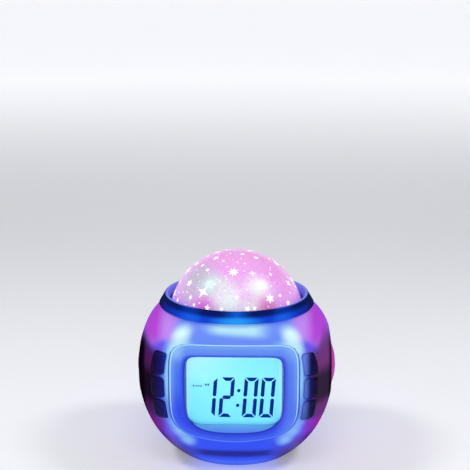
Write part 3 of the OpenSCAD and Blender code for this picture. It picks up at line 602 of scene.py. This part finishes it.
def ring_finish():
    f = Finish("ring_plastic_look", IOR=1.5, Specular_IOR_Level=0.0, Coat_Weight=0.04, Coat_Roughness=0.4)
    ax = f.size_of(f.x)
    off = f.size_of(f.math("SUBTRACT", f.x, shine_x))
    front = f.fall(f.y, -30, -10)
    upper = f.rise(f.z, 81.2, 83.4)
    # Navy blue with painted reflections: brighter blue across the front and a painted glint, and painted
    # shade darker towards the sides
    colour = f.mix(upper, rgb(14, 66, 210), rgb(7, 26, 98))
    colour = f.layer(colour, f.mix(upper, rgb(26, 98, 230), rgb(8, 54, 166)), f.rise(off, 16, 22),
                     f.fall(off, 23, 31), front, 0.8)
    colour = f.mix(f.rise(ax, 26, 37), colour, f.mix(upper, rgb(10, 40, 150), rgb(8, 20, 84)))
    colour = f.mix(f.rise(ax, 35, 39), colour, rgb(10, 18, 78))
    glint = f.fall(f.math("SUBTRACT", off, f.choose(upper, 9.0, 2.0)), -8, 7)
    colour = f.layer(colour, f.mix(upper, rgb(34, 150, 246), rgb(20, 108, 236)), glint, front)
    colour = f.mix(f.rise(f.y, -6, 20), colour, rgb(14, 40, 140))

    # The light inner wall
    inside = f.fall(f.length(f.x, f.y), 36.9, 37.5)
    colour = f.layer(colour, rgb(124, 136, 230), inside, f.rise(f.z, 79.6, 82), f.rise(ax, 16, 30))
    f.paint(f.layer(colour, rgb(8, 14, 60), f.noise(4.0, 3.0), 0.1), 0.18)
    f.rough(0.2, 0.32, 8.0)
    f.bump(f.noise(0.6, 2.0), 0.01)
    return f.mat


# Light and shade in the dome: place, radius, share and colour
dome_patches = (
    ((-27, -16, 88), 14, 0.6, (214, 156, 224)), ((-20, -15, 97), 15, 1.0, (192, 192, 204)),
    ((-23, -20, 89), 9, 0.7, (200, 190, 212)), ((-12, -23, 94), 11, 0.95, (186, 232, 218)),
    ((-5, -26, 94), 11, 0.7, (230, 232, 230)), ((-3, -30, 86), 13, 1.0, (234, 248, 242)),
    ((8, -30, 84), 9, 0.9, (240, 242, 240)), ((11, -24, 94), 11, 0.95, (240, 244, 238)),
    ((-15.5, -28, 84), 8, 0.95, (216, 112, 216)), ((17, -28, 84), 9, 0.9, (222, 122, 182)),
)


def dome_finish():
    f = Finish("dome_plastic_look", IOR=1.49, Specular_IOR_Level=0.2, Coat_Weight=0.2, Coat_Roughness=0.2)
    colour = f.mix(f.rise(f.noise(22.0, 2.0), 0.35, 0.65), rgb(236, 156, 230), rgb(228, 174, 238))
    colour = f.mix(f.rise(f.z, 98, 106), colour, rgb(238, 166, 230))
    for centre, radius, share, shade in dome_patches:
        colour = f.layer(colour, rgb(*shade), f.spot(centre, radius), share)
    specks = f.fall(f.cells(1.1), 0.1, 0.32)
    patchy = f.rise(f.noise(7.0, 2.0), 0.42, 0.6)
    colour = f.layer(colour, rgb(255, 244, 252), specks, patchy, 0.6)
    f.paint(f.layer(colour, rgb(206, 132, 208), f.rise(f.noise(1.6, 4.0), 0.45, 0.75), 0.3), 0.22)
    f.rough(0.25, 0.4, 3.0)
    f.bump(f.noise(1.1, 3.0), 0.05)
    return f.mat


def star_finish():
    f = Finish("dome_star_look", IOR=1.49, Roughness=0.3)
    f.paint(f.mix(f.noise(3.0), rgb(255, 255, 255), rgb(255, 236, 252)), 0.6)
    return f.mat


def lcd_finish():
    f = Finish("lcd_look", IOR=1.45, Roughness=0.4)
    colour = f.mix(f.rise(f.z, 28, 50), rgb(124, 230, 250), rgb(142, 242, 248))
    colour = f.layer(colour, rgb(188, 255, 248), f.rise(f.z, 44, 64), f.fall(f.x, -24, 12))
    edge = f.math("MAXIMUM", f.rise(f.size_of(f.x), 21.6, 23.4), f.rise(f.z, 60.5, 62.8))
    colour = f.layer(colour, rgb(196, 250, 255), edge, 0.6)
    f.paint(f.layer(colour, rgb(90, 190, 230), f.noise(0.35, 1.0), 0.06), 0.5)
    return f.mat


def digit_finish():
    f = Finish("lcd_digit_look", Roughness=0.5, Specular_IOR_Level=0.0)
    f.paint(f.mix(f.noise(2.0), rgb(0, 56, 154), rgb(0, 44, 138)), 0.25)
    return f.mat


def window_finish():
    f = Finish("window_plastic_look", IOR=1.12, Transmission_Weight=1.0, Roughness=0.03)
    f.paint(f.mix(f.noise(12.0), rgb(250, 254, 255), rgb(240, 250, 255)))
    return f.mat


def lens_finish():
    f = Finish("lens_plastic_look", IOR=1.49, Specular_IOR_Level=0.0, Coat_Weight=0.04, Coat_Roughness=0.12)
    colour = f.mix(f.rise(f.noise(8.0), 0.35, 0.65), rgb(196, 60, 172), rgb(184, 92, 194))
    f.paint(f.mix(f.fall(f.cells(3.4), 0.12, 0.3), colour, rgb(250, 190, 238)), 0.1)
    f.rough(0.12, 0.25, 4.0)
    f.bump(f.noise(1.2, 2.0), 0.03)
    return f.mat


def button_finish():
    f = Finish("button_plastic_look", IOR=1.46, Specular_IOR_Level=0.02, Coat_Weight=0.05, Coat_Roughness=0.2)
    ax = f.size_of(f.x)
    # Painted light and shade: lit blue towards the display and lighter on the right, painted shade darker
    # outwards and towards the foot
    inner = f.math("SUBTRACT", ax, f.rise(f.x, -6, 6, 0, 2.0))
    lit = f.mix(f.rise(f.x, -6, 6), rgb(38, 64, 200), rgb(112, 142, 246))
    colour = f.mix(f.rise(inner, 32.2, 36.4), lit, rgb(20, 18, 108))
    colour = f.mix(f.rise(ax, 36, 40), colour, rgb(18, 10, 44))
    colour = f.layer(colour, rgb(14, 8, 36), f.fall(f.z, 30, 48), 0.5)
    f.paint(f.layer(colour, rgb(60, 40, 150), f.rise(f.noise(3.0, 3.0), 0.3, 0.7), 0.15))
    f.rough(0.25, 0.38, 5.0)
    f.bump(f.noise(0.4, 3.0), 0.01)
    return f.mat


def rim_highlight_finish():
    """The bead round each button opening, a painted highlight bright towards the display, with painted shade
    towards the sides and a lilac painted highlight at the upper right button.
    """
    f = Finish("button_rim_look", IOR=1.46, Specular_IOR_Level=0.02)
    ax = f.size_of(f.x)
    colour = f.mix(f.rise(ax, 33, 37), rgb(128, 178, 248), rgb(52, 46, 140))
    colour = f.mix(f.rise(ax, 37, 41), colour, rgb(34, 18, 58))
    f.paint(f.layer(colour, rgb(150, 130, 236), f.rise(f.x, 30, 34), f.rise(f.z, 60, 64), 0.6))
    f.rough(0.3, 0.4, 4.0)
    return f.mat


def plastic(name, colour, shade, roughness=0.35, size=5.0, depth=0.01, glow=0.0, **sockets):
    """Moulded plastic with a slight grain and uneven gloss."""
    f = Finish(name + "_look", **sockets)
    f.paint(f.mix(f.rise(f.noise(size, 3.0), 0.3, 0.7), rgb(*colour), rgb(*shade)), glow)
    f.rough(roughness * 0.8, roughness * 1.25, size)
    f.bump(f.noise(0.4, 3.0), depth)
    return f.mat


def steel(name, colour, shade):
    f = Finish(name + "_steel_look", Metallic=1.0)
    f.paint(f.mix(f.noise(1.5, 4.0), rgb(*colour), rgb(*shade)))
    f.rough(0.22, 0.42, 2.0)
    f.bump(f.noise(0.3, 4.0), 0.008)
    return f.mat


def board_finish():
    f = Finish("circuit_board_look", IOR=1.5)
    weave = f.rise(f.cells(1.6), 0.2, 0.5)
    f.paint(f.mix(weave, rgb(16, 88, 44), rgb(26, 122, 60)))
    f.rough(0.28, 0.45, 3.0)
    f.bump(weave, 0.02)
    return f.mat


# Bezel

bezel_depth = 2.2
bezel_dish = 1.4
bezel_inset = 0.06
edge_depth = 0.45
edge_round = ((0.06, 0.2), (0.2, 0.06), (0.42, 0.0))
dish_rings = 17
lip_back_y = 40.6
lip_t = 0.5
window_t = 1.2
pocket_margin = 1.8
line_inset = 0.7
line_sunk = 0.05
line_r = 0.24


def bezel_mesh():
    rim = outline(recess_size)
    view = outline(view_size)
    pocket = outline(view_size, pocket_margin)
    rings = [on_face(outline(bezel_size), bezel_depth), on_face(outline(bezel_size), edge_depth)]
    rings += [on_face(outline(bezel_size, -inset), bezel_inset + depth) for inset, depth in edge_round]
    inner = outline(bezel_size, -edge_round[-1][0])
    for i in range(1, dish_rings):
        t = i / dish_rings
        depth = bezel_inset + bezel_dish * (0.56 * t + 0.44 * t * t)
        rings.append(on_face(between(inner, rim, t), depth))

    # The sloped wall of the recess, rounded at its top, then the lip and the pocket of the window
    front = on_face(rim, bezel_dish)
    lip = on_plane(view, -lip_back_y - lip_t)
    before = rings[-1]
    for t in (0.0, 0.25, 0.5, 0.75, 1.0):
        a = between(before, front, 0.3 + 0.7 * t)
        b = between(front, lip, 0.25 * t)
        rings.append(between(a, b, t))
    for t in (0.45, 0.65, 0.85, 1.0):
        rings.append(between(front, lip, t))
    rings += [on_plane(view, -lip_back_y), on_plane(pocket, -lip_back_y)]
    rings.append(on_plane(pocket, window_t - lip_back_y))
    return loft("front_bezel_skin", rings, closed_ring=True)


def line_mesh():
    """The bright bead along the edge of the bezel, a painted highlight where the edge catches the light."""
    w, *rest = bezel_size
    path = [(x, line_sunk - face_y(x, z), z) for x, z in outline((w - line_inset, *rest))]
    return bead("bezel_highlight_line", path, line_r)


def make_bezel():
    bezel = add_object("front_bezel_skin", bezel_mesh(), bezel_finish())
    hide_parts("front_bezel")
    add_object("bezel_highlight_line", line_mesh(), line_highlight_finish())


# Buttons

button_w = 7.6
button_h = 10
button_pitch = 12.1
button_mid_z = 47.6
button_turn = math.radians(33)
corner_turn = math.radians(42)
corner_sphere_r = 48
corner_sphere_z = 48.5
button_proud = 0.7
button_round = 1.5
button_edge = 0.75
button_steps = 64
stem_r = 1.6
flange_depth = 7.4
flange_t = 1
flange_lip = 0.6
rim_gap = 0.45
rim_sunk = 0.05
rim_r = 0.22
search_in = 12
search_out = 6
search_rounds = 24
levels = {"upper": button_mid_z + button_pitch, "middle": button_mid_z, "lower": button_mid_z - button_pitch}
corner_r = section_r(math.sin(corner_turn), -math.cos(corner_turn), button_mid_z)
corner_face = corner_r * math.cos(corner_turn - button_turn)
button_offset = corner_r * math.sin(corner_turn - button_turn)
flange_out = corner_face - flange_depth


def button_point(side, z, u, v, out):
    """A point from its place across, up and out along a button's travel."""
    across = side * button_offset + u
    a = side * button_turn
    return (across * math.cos(a) + out * math.sin(a), across * math.sin(a) - out * math.cos(a), z + v)


def rounded_rect(w, h, r, count):
    """Points round a rectangle with round corners, from the middle of its right side."""
    points = []
    straight = [(h - 2 * r) / 2, w - 2 * r, h - 2 * r, w - 2 * r, (h - 2 * r) / 2]
    quarter = math.pi * r / 2
    total = 2 * (w + h) - 8 * r + 4 * quarter
    for i in range(count):
        s = total * i / count
        x, y, a = w / 2, 0.0, 0
        for k, length in enumerate(straight):
            dx, dy = round(math.cos(a + math.pi / 2)), round(math.sin(a + math.pi / 2))
            if s <= length or k == 4:
                points.append((x + dx * s, y + dy * s))
                break
            s -= length
            x, y = x + dx * length, y + dy * length
            cx, cy = x - math.cos(a) * r, y - math.sin(a) * r
            if s <= quarter:
                b = a + s / r
                points.append((cx + math.cos(b) * r, cy + math.sin(b) * r))
                break
            s -= quarter
            a += math.pi / 2
            x, y = cx + math.cos(a) * r, cy + math.sin(a) * r
    return points


def button_outline(grow=0.0, round_grow=0.0):
    return rounded_rect(button_w + 2 * grow, button_h + 2 * grow, button_round + round_grow, button_steps)


def button_top(z, u, v):
    """Height of the button's domed face along its travel."""
    r = corner_sphere_r + button_proud
    dv = v - (corner_sphere_z - z)
    return corner_face - corner_sphere_r + math.sqrt(r * r - u * u - dv * dv)


def button_mesh(side, z, name):
    outer = button_outline()
    wide = button_outline(flange_lip)
    turns = [math.atan2(v, u) for u, v in outer]
    stem = [(stem_r * math.cos(a), stem_r * math.sin(a)) for a in turns]
    rings = []
    for points, out in ((stem, flange_out - 2 * flange_t), (stem, flange_out - flange_t),
                        (wide, flange_out - flange_t), (wide, flange_out), (outer, flange_out)):
        rings.append([button_point(side, z, u, v, out) for u, v in points])
    for degrees in range(0, 91, 15):
        a = math.radians(degrees)
        inset, drop = button_edge * (1 - math.cos(a)), button_edge * (1 - math.sin(a))
        small = button_outline(-inset, -inset)
        rings.append([button_point(side, z, u, v, button_top(z, u, v) - drop) for u, v in small])
    for share in (0.85, 0.65, 0.45, 0.25, 0.08):
        rings.append([button_point(side, z, u * share, v * share, button_top(z, u * share, v * share))
                      for u, v in small])
    return loft(name, rings, sharp_angle=50)


def surface_out(side, z, u, v):
    """How far out along a button's travel the body's surface lies."""
    low, high = corner_face - search_in, corner_face + search_out
    for _ in range(search_rounds):
        mid = (low + high) / 2
        if body_gap(button_point(side, z, u, v, mid)) < 0:
            low = mid
        else:
            high = mid
    return low


def make_buttons():
    button_look = button_finish()
    rim_look = rim_highlight_finish()
    for side, side_name in ((-1, "left"), (1, "right")):
        for level, z in levels.items():
            body = f"{side_name}_{level}_button"
            name = f"button_{side_name}_{level}_skin"
            cap = add_object(name, button_mesh(side, z, name), button_look, body)
            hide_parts(f"button_{side_name}_{level}")
            path = [button_point(side, z, u, v, surface_out(side, z, u, v) - rim_sunk)
                    for u, v in button_outline(rim_gap, rim_gap)]
            rim_name = f"button_rim_highlight_{side_name}_{level}"
            add_object(rim_name, bead(rim_name, path, rim_r), rim_look)


# Display

digit_y0 = -39.26
digit_y1 = -39.14
digit_slant = 0.075
digit_mid_z = 41.2
digit_w = 5.1
digit_h = 9.6
stroke = 1.85
corner_cut = 0.45
middle_gap = 0.5
dot_x = 2.0
dot_r = 0.88
dot_steps = 20
dot_heights = (44.8, 37.0)

# Each segment: its ends on the grid of a digit, and its outer side, 1 left of its run and -1 right
segments = {
    "top": ((0, 2), (1, 2), 1), "middle": ((0, 1), (1, 1), 0), "bottom": ((0, 0), (1, 0), -1),
    "upper_left": ((0, 1), (0, 2), 1), "upper_right": ((1, 1), (1, 2), -1),
    "lower_left": ((0, 0), (0, 1), 1), "lower_right": ((1, 0), (1, 1), -1),
}
digit_segments = {
    "1": ("upper_right", "lower_right"),
    "2": ("top", "upper_right", "middle", "lower_left", "bottom"),
    "0": ("top", "bottom", "upper_left", "upper_right", "lower_left", "lower_right"),
}
digit_places = (("1", -15.1), ("2", -6.4), ("0", 5.4), ("0", 13.95))

# Each small mark beside the time: its place, width and height
mark_places = (
    (-21.2, 46.7, 0.5, 1.2), (-20.3, 46.7, 0.6, 0.6), (-19.3, 46.7, 0.5, 0.9), (-18.4, 46.7, 0.6, 0.7),
    (-17.4, 46.7, 0.8, 0.7), (-15.2, 47.2, 0.9, 1.1), (-13.9, 47.2, 0.9, 1.1),
)


def slanted(x, z):
    return x + (z - digit_mid_z) * digit_slant, z


def plates(name, outlines):
    """Flat plates in front of the display."""
    points, faces = [], []
    for shape in outlines:
        n, first = len(shape), len(points)
        points += on_plane(shape, digit_y0) + on_plane(shape, digit_y1)
        faces += [tuple(range(first, first + n)), tuple(range(first + 2 * n - 1, first + n - 1, -1))]
        faces += [(first + i, first + (i + 1) % n, first + n + (i + 1) % n, first + n + i) for i in range(n)]
    return mesh_of(name, points, faces, smooth=False)


def stroke_end(row, outer):
    """Places round an end of a stroke, from its left side: across it, and back from the end."""
    if row == 1:
        side_back = middle_gap + stroke * 0.3
        return (1, side_back), (0.4, middle_gap), (-0.4, middle_gap), (-1, side_back)
    return (1, corner_cut - outer * stroke / 2), (-1, corner_cut + outer * stroke / 2)


def stroke_shape(left, start, end, outer):
    """The outline of one segment of a digit: mitred at the corners, blunt at the middle."""
    a = Vector((left + start[0] * digit_w, digit_mid_z + (start[1] - 1) * digit_h))
    b = Vector((left + end[0] * digit_w, digit_mid_z + (end[1] - 1) * digit_h))
    along = (b - a).normalized()
    across = Vector((-along.y, along.x)) * stroke / 2
    shape = [b - along * back + across * side for side, back in stroke_end(end[1], outer)]
    shape += [a + along * back + across * side for side, back in reversed(stroke_end(start[1], outer))]
    return [slanted(p.x, p.y) for p in shape]


def digit_mesh():
    shapes = [stroke_shape(left, *segments[s]) for digit, left in digit_places for s in digit_segments[digit]]
    turns = [2 * math.pi * i / dot_steps for i in range(dot_steps)]
    for z in dot_heights:
        shapes.append([slanted(dot_x + dot_r * math.cos(a), z + dot_r * math.sin(a)) for a in turns])
    return plates("lcd_digits", shapes)


def mark_mesh():
    """A faint row of small marks beside the time."""
    return plates("lcd_marks", [[slanted(x, z), slanted(x + w, z), slanted(x + w, z + h), slanted(x, z + h)]
                                for x, z, w, h in mark_places])


def make_display():
    add_object("lcd_digits", digit_mesh(), digit_finish())
    add_object("lcd_marks", mark_mesh(), plastic("lcd_mark", (74, 120, 176), (96, 140, 190), 0.5))


# Dome and its printed stars

ring_overhang = 1.8
ring_taper = 2.8
ring_wall = 2.3
dome_gap = 1.35
dome_top_z = 106.8
dome_rise = 26.5
dome_foot_r = half_w(body_top_z) + ring_overhang - ring_taper - ring_wall - dome_gap
dome_r = (dome_foot_r ** 2 + dome_rise ** 2) / (2 * dome_rise)
dome_mid_z = dome_top_z - dome_r
star_turn = 1.6
star_sunk = 0.05
star_proud = 0.09
star_total = 120
star_tries = 4000
star_space = 0.8
star_inner = 0.42
star_seed = 7
front_half = 80

# Each star: direction from the front, height angle, points, outer radius, inner share, turn
front_stars = (
    (-4.4, 55.8, 8, 3.0, 0.36, 10), (-35.5, 34.1, 4, 3.6, 0.26, 20), (-60.3, 37.9, 5, 2.2, 0.4, 0),
    (33.2, 28.7, 6, 2.7, 0.42, 15), (22.7, 53.3, 4, 1.9, 0.3, 8), (-59.4, 69.4, 5, 1.9, 0.4, 0),
    (-31.4, 68, 4, 0.9, 0.5, 0), (-41.3, 21.9, 5, 1.0, 0.5, 0), (16.1, 22.3, 5, 1.1, 0.5, 0),
    (-65.5, 56.8, 4, 1.1, 0.6, 45), (-46.4, 54.4, 4, 1.1, 0.6, 45), (-48.3, 27.1, 5, 1.4, 0.4, 0),
    (-67, 20.2, 5, 1.5, 0.4, 20), (-26.6, 21.6, 5, 1.9, 0.4, 0), (-13.3, 22, 4, 1.2, 0.4, 0),
    (9.7, 22.2, 5, 1.7, 0.4, 30), (53.4, 21.1, 5, 1.8, 0.4, 12), (32.5, 80.5, 4, 1.2, 0.5, 0),
    (58.1, 70.2, 5, 1.5, 0.4, 0), (48.9, 49.1, 4, 1.2, 0.4, 0), (46, 29.2, 4, 1.1, 0.4, 20),
    (0, 32, 4, 1.2, 0.4, 0), (69.3, 35.8, 4, 1.9, 0.4, 70),
)


def direction(azimuth, elevation):
    """The way from the dome's middle, by degrees round from the front and up."""
    a, e = math.radians(azimuth), math.radians(elevation)
    return Vector((math.cos(e) * math.sin(a), -math.cos(e) * math.cos(a), math.sin(e)))


def star_outline(count, radius, share, turn):
    return [(r * math.sin(a), r * math.cos(a)) for r, a in (
        (radius if i % 2 == 0 else radius * share, math.radians(turn) + math.pi * i / count)
        for i in range(2 * count))]


def star_solid(azimuth, elevation, shape):
    """A thin star that follows the sphere of the dome."""
    low, high = dome_r - star_sunk, dome_r + star_proud
    out = direction(azimuth, elevation)
    right = Vector((math.cos(math.radians(azimuth)), math.sin(math.radians(azimuth)), 0))
    up = right.cross(out) * -1
    centre = Vector((0, 0, dome_mid_z))
    points = []
    for radius, scale in ((low, 1.0), (high, 1.0), (high, 0.5)):
        for u, v in shape:
            p = out * dome_r + right * u * scale + up * v * scale
            points.append(tuple(centre + p.normalized() * radius))
    points += [tuple(centre + out * high), tuple(centre + out * low)]
    n = len(shape)
    faces = ring_faces(n, 0, 1) + ring_faces(n, 1, 2)
    faces += [(2 * n + i, 2 * n + (i + 1) % n, 3 * n) for i in range(n)]
    faces += [(i, 3 * n + 1, (i + 1) % n) for i in range(n)]
    return points, faces


def scatter_stars():
    """The placed stars of the front, and drawn ones between and behind them."""
    stars = list(front_stars)
    source = random.Random(star_seed)
    tries = 0
    while len(stars) < star_total and tries < star_tries:
        tries += 1
        azimuth = source.uniform(-180, 180)
        elevation = math.degrees(math.asin(source.uniform(0.28, 0.99)))
        small = abs(azimuth) < front_half
        radius = source.uniform(0.3, 0.6) if small else source.choice((0.6, 1.0, 1.5, 2.0, 2.8))
        count = 4 if small else source.choice((4, 5, 5, 6, 8))
        here = direction(azimuth, elevation) * dome_r
        if all((here - direction(other[0], other[1]) * dome_r).length >= radius + other[3] + star_space
               for other in stars):
            stars.append((azimuth, elevation, count, radius, star_inner, source.uniform(0, 90)))
    return stars


def star_mesh():
    points, faces = [], []
    for azimuth, elevation, count, radius, share, turn in scatter_stars():
        p, f = star_solid(azimuth + star_turn, elevation, star_outline(count, radius, share, turn))
        faces += [tuple(i + len(points) for i in face) for face in f]
        points += p
    return mesh_of("dome_stars", points, faces, smooth=False)


# Finishes of the pieces that keep their constructed form

def dress(material, *names):
    for name in names:
        for slot in nodes[name].material_slots:
            slot.material = material


def dress_front():
    dress(ring_finish(), "top_ring")
    dress(dome_finish(), "star_dome")
    dress(lcd_finish(), "lcd_glass")
    dress(window_finish(), "display_window")
    dress(lens_finish(), "right_star_lens")
    dress(plastic("grille_plastic", (28, 22, 46), (44, 34, 66)), "left_speaker_grille")
    dress(plastic("trim_plastic", (8, 8, 12), (18, 16, 26), 0.25), "left_trim_ring", "right_trim_ring")


def dress_inside():
    dress(plastic("white_plastic", (232, 234, 238), (216, 220, 228), 0.4), "lcd_holder", "lamp_reflector",
          "side_lamp_cup")
    dress(plastic("guide_plastic", (226, 240, 246), (210, 230, 240), 0.2, glow=0.3), "lcd_backlight")
    dress(plastic("strip_rubber", (206, 116, 132), (180, 96, 116), 0.6), "contact_strips")
    dress(board_finish(), "main_board", "left_switch_board", "right_switch_board", "lamp_board",
          "side_lamp_board")
    dress(plastic("chip_resin", (16, 16, 18), (30, 30, 34), 0.3), "main_chip")
    dress(steel("screw", (190, 190, 196), (150, 150, 158)), "main_board_screws", "switch_board_screws",
          "lamp_screws", "base_screws", "shell_screws")
    dress(steel("contact", (214, 214, 216), (180, 180, 184)), "battery_contacts")
    dress(steel("basket", (96, 98, 104), (74, 76, 82)), "speaker_frame")
    dress(steel("magnet", (84, 84, 90), (60, 60, 66)), "speaker_magnet")
    dress(plastic("cone_paper", (30, 30, 33), (48, 46, 48), 0.8, size=1.2, depth=0.04), "speaker_cone")
    dress(plastic("switch_plastic", (34, 34, 38), (50, 50, 56), 0.4), "left_tact_switches",
          "right_tact_switches")
    dress(plastic("plunger_plastic", (216, 214, 206), (196, 194, 186), 0.4),
          *[f"plunger_{side}_{level}" for side in ("left", "right") for level in levels])
    dress(plastic("lamp", (255, 226, 240), (255, 200, 230), 0.1, glow=2.0), "projection_leds", "side_led")
    dress(plastic("tray_plastic", (40, 38, 52), (56, 52, 70), 0.45), "battery_tray")
    dress(plastic("cell_case", (186, 140, 56), (150, 108, 40), 0.25, size=9.0, Metallic=0.4), "battery_cells")


def dress_base():
    dress(plastic("base_plastic", (44, 40, 118), (58, 50, 140), 0.45, depth=0.03), "base_plate")
    dress(plastic("foot_rubber", (22, 22, 24), (36, 36, 40), 0.8, size=1.5, depth=0.03), "rubber_feet")


# Camera, floor, sky and studio lights, with places in metres

photo_px = 470
focal_px = 1192.1
sensor_width = 36
camera_pitch = 0.234
camera_pan = 1.6 / focal_px
camera_turn = 0.028
camera_away = 0.6
camera_z = 0.25825
floor_r = 1.9
floor_bend = 0.5
floor_wall_z = 0.8
floor_steps = 96
bend_steps = 12
floor_glow = 0.55
sky_light = 0.19
light_target = (0, 0, 0.05)

# Each light: place, width, height and watts
softboxes = {
    "left_softbox": ((-0.38, -0.056, 0.557), 0.15, 0.15, 1.1),
    "right_softbox": ((0.38, -0.056, 0.557), 0.15, 0.15, 1.1),
    "front_softbox": ((0, -0.36, 0.6), 0.34, 0.07, 0.5),
    "camera_softbox": ((0, -1.1, 0.5), 0.7, 0.7, 1.5),
}


def make_camera():
    data = bpy.data.cameras.new("photo_camera")
    data.sensor_width = sensor_width
    data.lens = focal_px / photo_px * data.sensor_width
    data.clip_start = 0.01
    camera = link("photo_camera", data)
    camera.location = (camera_away * math.sin(camera_turn), -camera_away * math.cos(camera_turn), camera_z)
    camera.rotation_euler = (math.pi / 2 - camera_pitch, 0, camera_turn + camera_pan)
    bpy.context.scene.camera = camera


def make_floor():
    """A flat floor that turns up into a round wall, brighter far behind the part."""
    quarter = [math.pi / 2 * i / bend_steps for i in range(bend_steps + 1)]
    profile = [(floor_r + floor_bend * math.sin(a), floor_bend - floor_bend * math.cos(a)) for a in quarter]
    profile.append((floor_r + floor_bend, floor_wall_z))
    around = [2 * math.pi * i / floor_steps for i in range(floor_steps)]
    points = [(r * math.cos(a), r * math.sin(a), z) for r, z in profile for a in around]
    points.append((0, 0, 0))
    faces = [(i, (i + 1) % floor_steps, len(points) - 1) for i in range(floor_steps)]
    for ring in range(len(profile) - 1):
        faces += ring_faces(floor_steps, ring, ring + 1)
    mesh = bpy.data.meshes.new("studio_floor")
    mesh.from_pydata(points, [], faces)
    mesh.shade_smooth()
    f = Finish("studio_floor_look", Roughness=0.6)
    f.paint(f.mix(f.noise(60.0), rgb(250, 250, 252), rgb(246, 246, 250)))
    f.glow(f.mix(f.rise(f.y, 300, 1600), rgb(170, 170, 173), rgb(250, 250, 253)), floor_glow)
    mesh.materials.append(f.mat)
    obj = link("studio_floor", mesh)


def make_sky():
    world = bpy.data.worlds.new("studio_world")
    bpy.context.scene.world = world
    world.use_nodes = True
    background = world.node_tree.nodes["Background"]
    background.inputs["Color"].default_value = (0.9, 0.93, 1.0, 1)
    background.inputs["Strength"].default_value = sky_light


def make_lights():
    for name, (place, width, height, watts) in softboxes.items():
        data = bpy.data.lights.new(name, "AREA")
        data.shape = "ELLIPSE"
        data.size = width
        data.size_y = height
        data.energy = watts
        light = link(name, data)
        light.location = place
        aim = Vector(light_target) - Vector(place)
        light.rotation_euler = aim.to_track_quat("-Z", "Y").to_euler()


# The scene

make_camera()
shell_look = shell_finish()
smooth_skin("front_shell", shell_look)
smooth_skin("rear_shell", shell_look)
smooth_skin("battery_door", shell_look, "battery_door")
make_bezel()
make_buttons()
make_display()
add_object("dome_stars", star_mesh(), star_finish())
dress_front()
dress_inside()
dress_base()
make_floor()
make_sky()
make_lights()
bpy.context.scene.view_settings.view_transform = "Standard"
